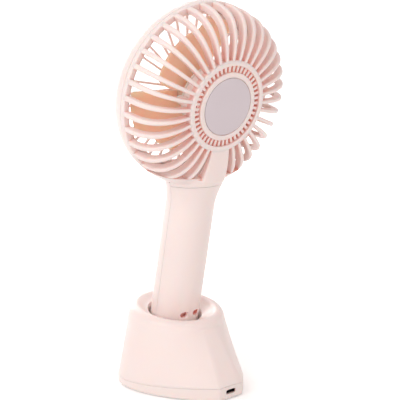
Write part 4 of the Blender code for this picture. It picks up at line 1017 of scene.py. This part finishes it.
dock = {
    "segments": 160,
    "halfWide": 32.8,
    "middle": 6.2,
    "frontReach": 24.3,
    "rearReach": 51.6,
    "taper": 0.5,
    "facet": 54.0, "facetHalf": 7.57,
    "flare": 0.95,
    "seamHeight": 4.3, "seamSlope": 0.056, "seamSoft": 0.12,
    "crestHeight": 40.2, "crestRadius": 20.8, "crestStretch": 1.9, "crestBack": 9.7,
    "crestTilt": 5.6,  # degrees
    "crestRound": 4.1,
    "lipInset": 1.6, "lipDrop": 0.5, "lipBulge": 0.14,
    "dishSag": 0.6,
    "mouthHeight": 37.8,  # along the handle's axis
    "mouthRadius": 14.6, "mouthRound": 0.5,
    "mouthSoft": (0.2, 0.13),  # outwards, downwards
    "mouthFoot": 31.0, "mouthCurve": 1.6,
    "wellRadius": 13.4, "wellEase": 0.1, "wellFloor": 23.4,
    "wellRound": (0.5, 0.6),  # inwards, upwards
    "wall": 2.2,
    "roomFoot": 0.6,
    "wellOutside": ((0, 21.7), (15.2, 21.7), (15.2, 30.0), (16.4, 33.0), (16.4, 43.8), (0, 43.8)),
    "pinSpacing": 9.0,
    "pinWay": (1.65, 20.7, 24.4),  # radius, low end, high end
    "trayFoot": 0.6, "trayChamfer": 1.0, "traySoft": 0.2, "trayFloor": 2.0, "trayWall": 2.0,
    "slotWide": 6.4, "slotTall": 2.3, "slotHeight": 4.4, "slotSquareness": 0.4,
    "slotSteps": ((0, -2.3), (0, -0.3), (0.15, -0.08), (0.5, 0.12), (0.6, 1)),  # wider by, outwards
    "pocketHalf": 4.05,
    "pocketReach": (6.9, 1.0),  # in front of the facet
    "pocketHeights": (3.1, 6.2),
    "padInset": 4.7, "padDeep": 0.7,
    "screwWay": 2.4, "screwSeat": 0.9,
    "screwPlaces": ((-16.8, 4.5), (16.8, 4.5), (0, 28.0)),
}


def planAngles(segments):
    # even steps, with the nearest ones moved onto the facet's two corners
    corner = atan2(dock["facetHalf"], dock["facet"] - dock["middle"])
    angles = [fullTurn * (k + 0.5) / segments for k in range(segments)]
    for k, angle in enumerate(angles):
        for target in (pi / 2 - corner, pi / 2 + corner):
            if abs(angle - target) <= pi / segments + tolerance["onAxis"]:
                angles[k] = target
    return angles


def planReach(angle, inset):
    rear = max(0.0, sin(angle))
    power = 2 - dock["taper"] * sqrt(rear)
    reachY = dock["rearReach"] if rear > 0 else dock["frontReach"]
    across = abs(cos(angle)) / (dock["halfWide"] - inset)
    along = abs(sin(angle)) / (reachY - inset)
    reach = (across**power + along**power) ** (-1 / power)
    return min(reach, (dock["facet"] - inset - dock["middle"]) / rear) if rear > 0 else reach


def planRing(height, segments, inset=0.0, slope=0.0):
    ring = []
    for angle in planAngles(segments):
        reach = planReach(angle, inset)
        y = dock["middle"] + reach * sin(angle)
        ring.append(Vector((reach * cos(angle), y, height + slope * y)))
    return ring


def tiltedRing(centre, radius, tilt, segments, stretch=0.0):
    ring = []
    for angle in planAngles(segments):
        along = (radius + stretch) * sin(angle)
        spot = Vector((radius * cos(angle), along * cos(tilt), -along * sin(tilt)))
        ring.append(Vector(centre) + spot)
    return ring


def crestRing(radius, drop, segments):
    tilt = radians(dock["crestTilt"])
    centre = Vector((0, dock["crestBack"], dock["crestHeight"]))
    centre -= drop * Vector((0, sin(tilt), cos(tilt)))
    return tiltedRing(centre, radius, tilt, segments, dock["crestStretch"])


def wellRing(height, radius):
    tilt = radians(layout["lean"])
    centre = (0, height * sin(tilt), height * cos(tilt))
    return tiltedRing(centre, radius, tilt, dock["segments"])


def flankRings(segments, inset, levels):
    crest = dock["crestRound"]
    shoulder = crestRing(dock["crestRadius"] + crest - inset, crest + inset, segments)
    base = planRing(dock["seamHeight"] + layout["gap"], segments, inset, dock["seamSlope"])
    rings = []
    for level in range(levels + 1):
        share = level / levels
        drawn = 1 - (1 - share) ** dock["flare"]
        ring = []
        for low, high in zip(base, shoulder):
            point = low.lerp(high, drawn)
            point.z = blend(low.z, high.z, share)
            ring.append(point)
        rings.append(ring)
    return rings


def crestRings(steps=10):
    rings = []
    for k in range(1, steps + 1):
        turn = pi / 2 * k / steps
        radius = dock["crestRadius"] + dock["crestRound"] * cos(turn)
        rings.append(crestRing(radius, dock["crestRound"] * (1 - sin(turn)), dock["segments"]))
    return rings


def dishRings(lip, steps=8):
    mouth = wellRing(dock["mouthHeight"], dock["mouthRadius"] + dock["mouthRound"])
    sag = Vector((0, 0, 2 * dock["dishSag"]))
    rings = []
    for k in range(steps + 1):
        t = k / steps
        ring = []
        for outer, inner in zip(lip, mouth):
            middle = outer.lerp(inner, 0.5) - sag
            ring.append(outer * (1 - t) ** 2 + middle * 2 * t * (1 - t) + inner * t * t)
        rings.append(ring)
    return rings


def wellRings(steps=4):
    mouth, radius = dock["mouthHeight"], dock["mouthRadius"]
    outwards, downwards = dock["mouthSoft"]
    neck = mouth - dock["mouthRound"]
    rings = [wellRing(mouth - downwards, radius + outwards), wellRing(neck, radius)]
    for k in range(1, steps + 1):
        drawn = 1 - (1 - k / steps) ** dock["mouthCurve"]
        height = blend(neck, dock["mouthFoot"], k / steps)
        rings.append(wellRing(height, blend(radius, dock["wellRadius"] + dock["wellEase"], drawn)))
    inwards, upwards = dock["wellRound"]
    rings.append(wellRing(dock["wellFloor"] + upwards, dock["wellRadius"]))
    rings.append(wellRing(dock["wellFloor"], dock["wellRadius"] - inwards))
    return rings


def buildDockBody():
    segments = dock["segments"]
    flank = flankRings(segments, 0.0, 22)
    foot = planRing(dock["seamHeight"] + layout["seam"], segments, dock["seamSoft"], dock["seamSlope"])
    edge = [low.lerp(high, dock["seamSoft"]) for low, high in zip(flank[0], flank[1])]
    rings = [foot, edge, *flank[1:], *crestRings()]
    lip = crestRing(dock["crestRadius"] - dock["lipInset"], dock["lipDrop"], segments)
    bulge = Vector((0, 0, dock["lipBulge"]))
    rings.append([outer.lerp(inner, 0.5) + bulge for outer, inner in zip(rings[-1], lip)])
    shell = lofted(rings + dishRings(lip) + wellRings())
    room = lofted([planRing(dock["roomFoot"], 80, dock["wall"]), *flankRings(80, dock["wall"], 8)])
    room = shaped(room, cut=[moved(turned(dock["wellOutside"], 96), leanBack)])
    radius, low, high = dock["pinWay"]
    pins = [rod(radius, low, high, 32, (side * dock["pinSpacing"] / 2, 0)) for side in (-1, 1)]
    shell = shaped(shell, cut=[room, moved(gathered(*pins), leanBack)])
    addPiece("dockBody", shell, toMetres, "blush_plastic", "dock", ["dock_shell"])


def trayShape(steps=4):
    segments, slope, wall = dock["segments"], dock["seamSlope"], dock["trayWall"]
    top, chamfer, soft = dock["seamHeight"], dock["trayChamfer"], dock["traySoft"]
    rings = []
    for k in range(steps + 1):
        turn = pi / 2 * k / steps
        height = dock["trayFoot"] + chamfer * (1 - cos(turn))
        rings.append(planRing(height, segments, chamfer * (1 - sin(turn))))
    rings.append(planRing(top - soft, segments, 0.0, slope))
    rings.append(planRing(top, segments, soft, slope))
    rings.append(planRing(top, segments, wall, slope))
    rings.append(planRing(dock["trayFloor"], segments, wall))
    return lofted(rings)


def inletSlot():
    rings = []
    for wider, out in dock["slotSteps"]:
        wide, tall = dock["slotWide"] + wider, dock["slotTall"] + wider
        y = dock["facet"] + out
        rings.append(ovalRing(0, dock["slotHeight"], wide, tall, y, dock["slotSquareness"]))
    return lofted(rings)


def buildDockTray():
    below = dock["trayFoot"] - 1
    half = dock["pocketHalf"]
    front, rear = (dock["facet"] - reach for reach in dock["pocketReach"])
    low, high = dock["pocketHeights"]
    pocket = box((-half, front, low), (half, rear, high))
    padTop = dock["trayFoot"] + dock["padDeep"]
    bed = lofted([planRing(height, 60, dock["padInset"]) for height in (below, padTop)])
    wayTop = dock["trayFloor"] + dock["screwSeat"]
    ways = [rod(dock["screwWay"], below, wayTop, 24, place) for place in dock["screwPlaces"]]
    tray = shaped(trayShape(), cut=[pocket, inletSlot(), bed, gathered(*ways)])
    addPiece("dockTray", tray, toMetres, "blush_plastic", "dock", ["dock_base_tray"])


buildDockBody()
buildDockTray()
print("dock made")


# Floor, light and camera

studio = {
    "floorSize": 6,
    "floorWhite": (0.90, 0.90, 0.90),
    "floorLift": 0.30,
    "fadeStart": 0.08,  # where the floor starts to turn white for the camera, and where it is white
    "fadeEnd": 0.4,
    "worldLevel": 0.64,
    "bounceColour": (1.0, 0.895, 0.86),
    "lamps": {  # place, target, size, power, colour
        "keyLamp": ((0.75, 0.10, 0.62), (0, 0.02, 0.10), 0.6, 2.5, (1, 0.99, 0.98)),
        "frontLamp": ((0.34, 0.85, 0.14), (0, 0, 0.15), 0.5, 1.2, (1, 1, 1)),
        "topLamp": ((0.0, 0.1, 0.95), (0, 0.02, 0.10), 0.7, 0.5, (1, 1, 1)),
        "rearLamp": ((-0.25, -0.88, 0.36), (0, 0.03, 0.155), 0.6, 4.5, (1, 1, 1)),
    },
    "cameraPlace": (0.3658, 0.4631, 0.2244),
    "cameraTurn": 139.883,  # degrees
    "cameraRise": 12.233,
    "lens": 101.49,
}
pureWhite = (1, 1, 1, 1)


def seenByCamera(tree):
    # 1 for what the camera sees, straight or in metal and glass, and 0 for light that falls on the object
    rays = tree.nodes.new("ShaderNodeLightPath").outputs
    seen = mathNode(tree, "MAXIMUM", rays["Is Camera Ray"], rays["Is Glossy Ray"])
    return mathNode(tree, "MAXIMUM", seen, rays["Is Transmission Ray"])


def buildFloor():
    bm = bmesh.new()
    bmesh.ops.create_grid(bm, x_segments=1, y_segments=1, size=studio["floorSize"])
    floor = standIn(bm, "studioFloor")
    material, tree, shader, place = startMaterial("studioPaper", 0.9)
    reach = addNode(tree, "ShaderNodeVectorMath", {0: place}, operation="LENGTH").outputs["Value"]
    fade = eased(tree, reach, studio["fadeStart"], studio["fadeEnd"], studio["floorLift"])
    feed(tree, shader, {
        "Base Color": (*studio["floorWhite"], 1),
        "Specular IOR Level": 0.1,
        "Emission Color": pureWhite,
        "Emission Strength": mathNode(tree, "MULTIPLY", seenByCamera(tree), fade),
    })
    floor.data.materials.append(material)


def buildWorld():
    world = bpy.data.worlds.new("studioWorld")
    bpy.context.scene.world = world
    world.use_nodes = True
    tree = world.node_tree
    seen = seenByCamera(tree)
    level = studio["worldLevel"]
    feed(tree, tree.nodes["Background"], {
        "Color": mixed(tree, seen, (*studio["bounceColour"], 1), pureWhite),
        "Strength": mathNode(tree, "MULTIPLY_ADD", seen, 1.0 - level, level),
    })


def buildLamps():
    for name, (place, target, size, power, colour) in studio["lamps"].items():
        lamp = bpy.data.lights.new(name, "AREA")
        lamp.size = size
        lamp.energy = power
        lamp.color = colour
        obj = placed(name, lamp)
        obj.location = place
        obj.rotation_euler = (Vector(place) - Vector(target)).to_track_quat("Z", "Y").to_euler()


def buildCamera():
    turn, rise = radians(studio["cameraTurn"]), radians(studio["cameraRise"])
    away = Vector((sin(turn) * cos(rise), -cos(turn) * cos(rise), sin(rise)))
    right = Vector((cos(turn), sin(turn), 0))
    up = away.cross(right)
    camera = placed("camera", bpy.data.cameras.new("camera"))
    camera.data.sensor_width = 36
    camera.data.lens = studio["lens"]
    camera.data.clip_end = 20
    rotation = Matrix((right, up, away)).transposed()
    camera.matrix_world = Matrix.Translation(studio["cameraPlace"]) @ rotation.to_4x4()
    bpy.context.scene.camera = camera


buildFloor()
buildWorld()
buildLamps()
buildCamera()
bpy.context.scene.view_settings.view_transform = "Standard"
print("studio made")
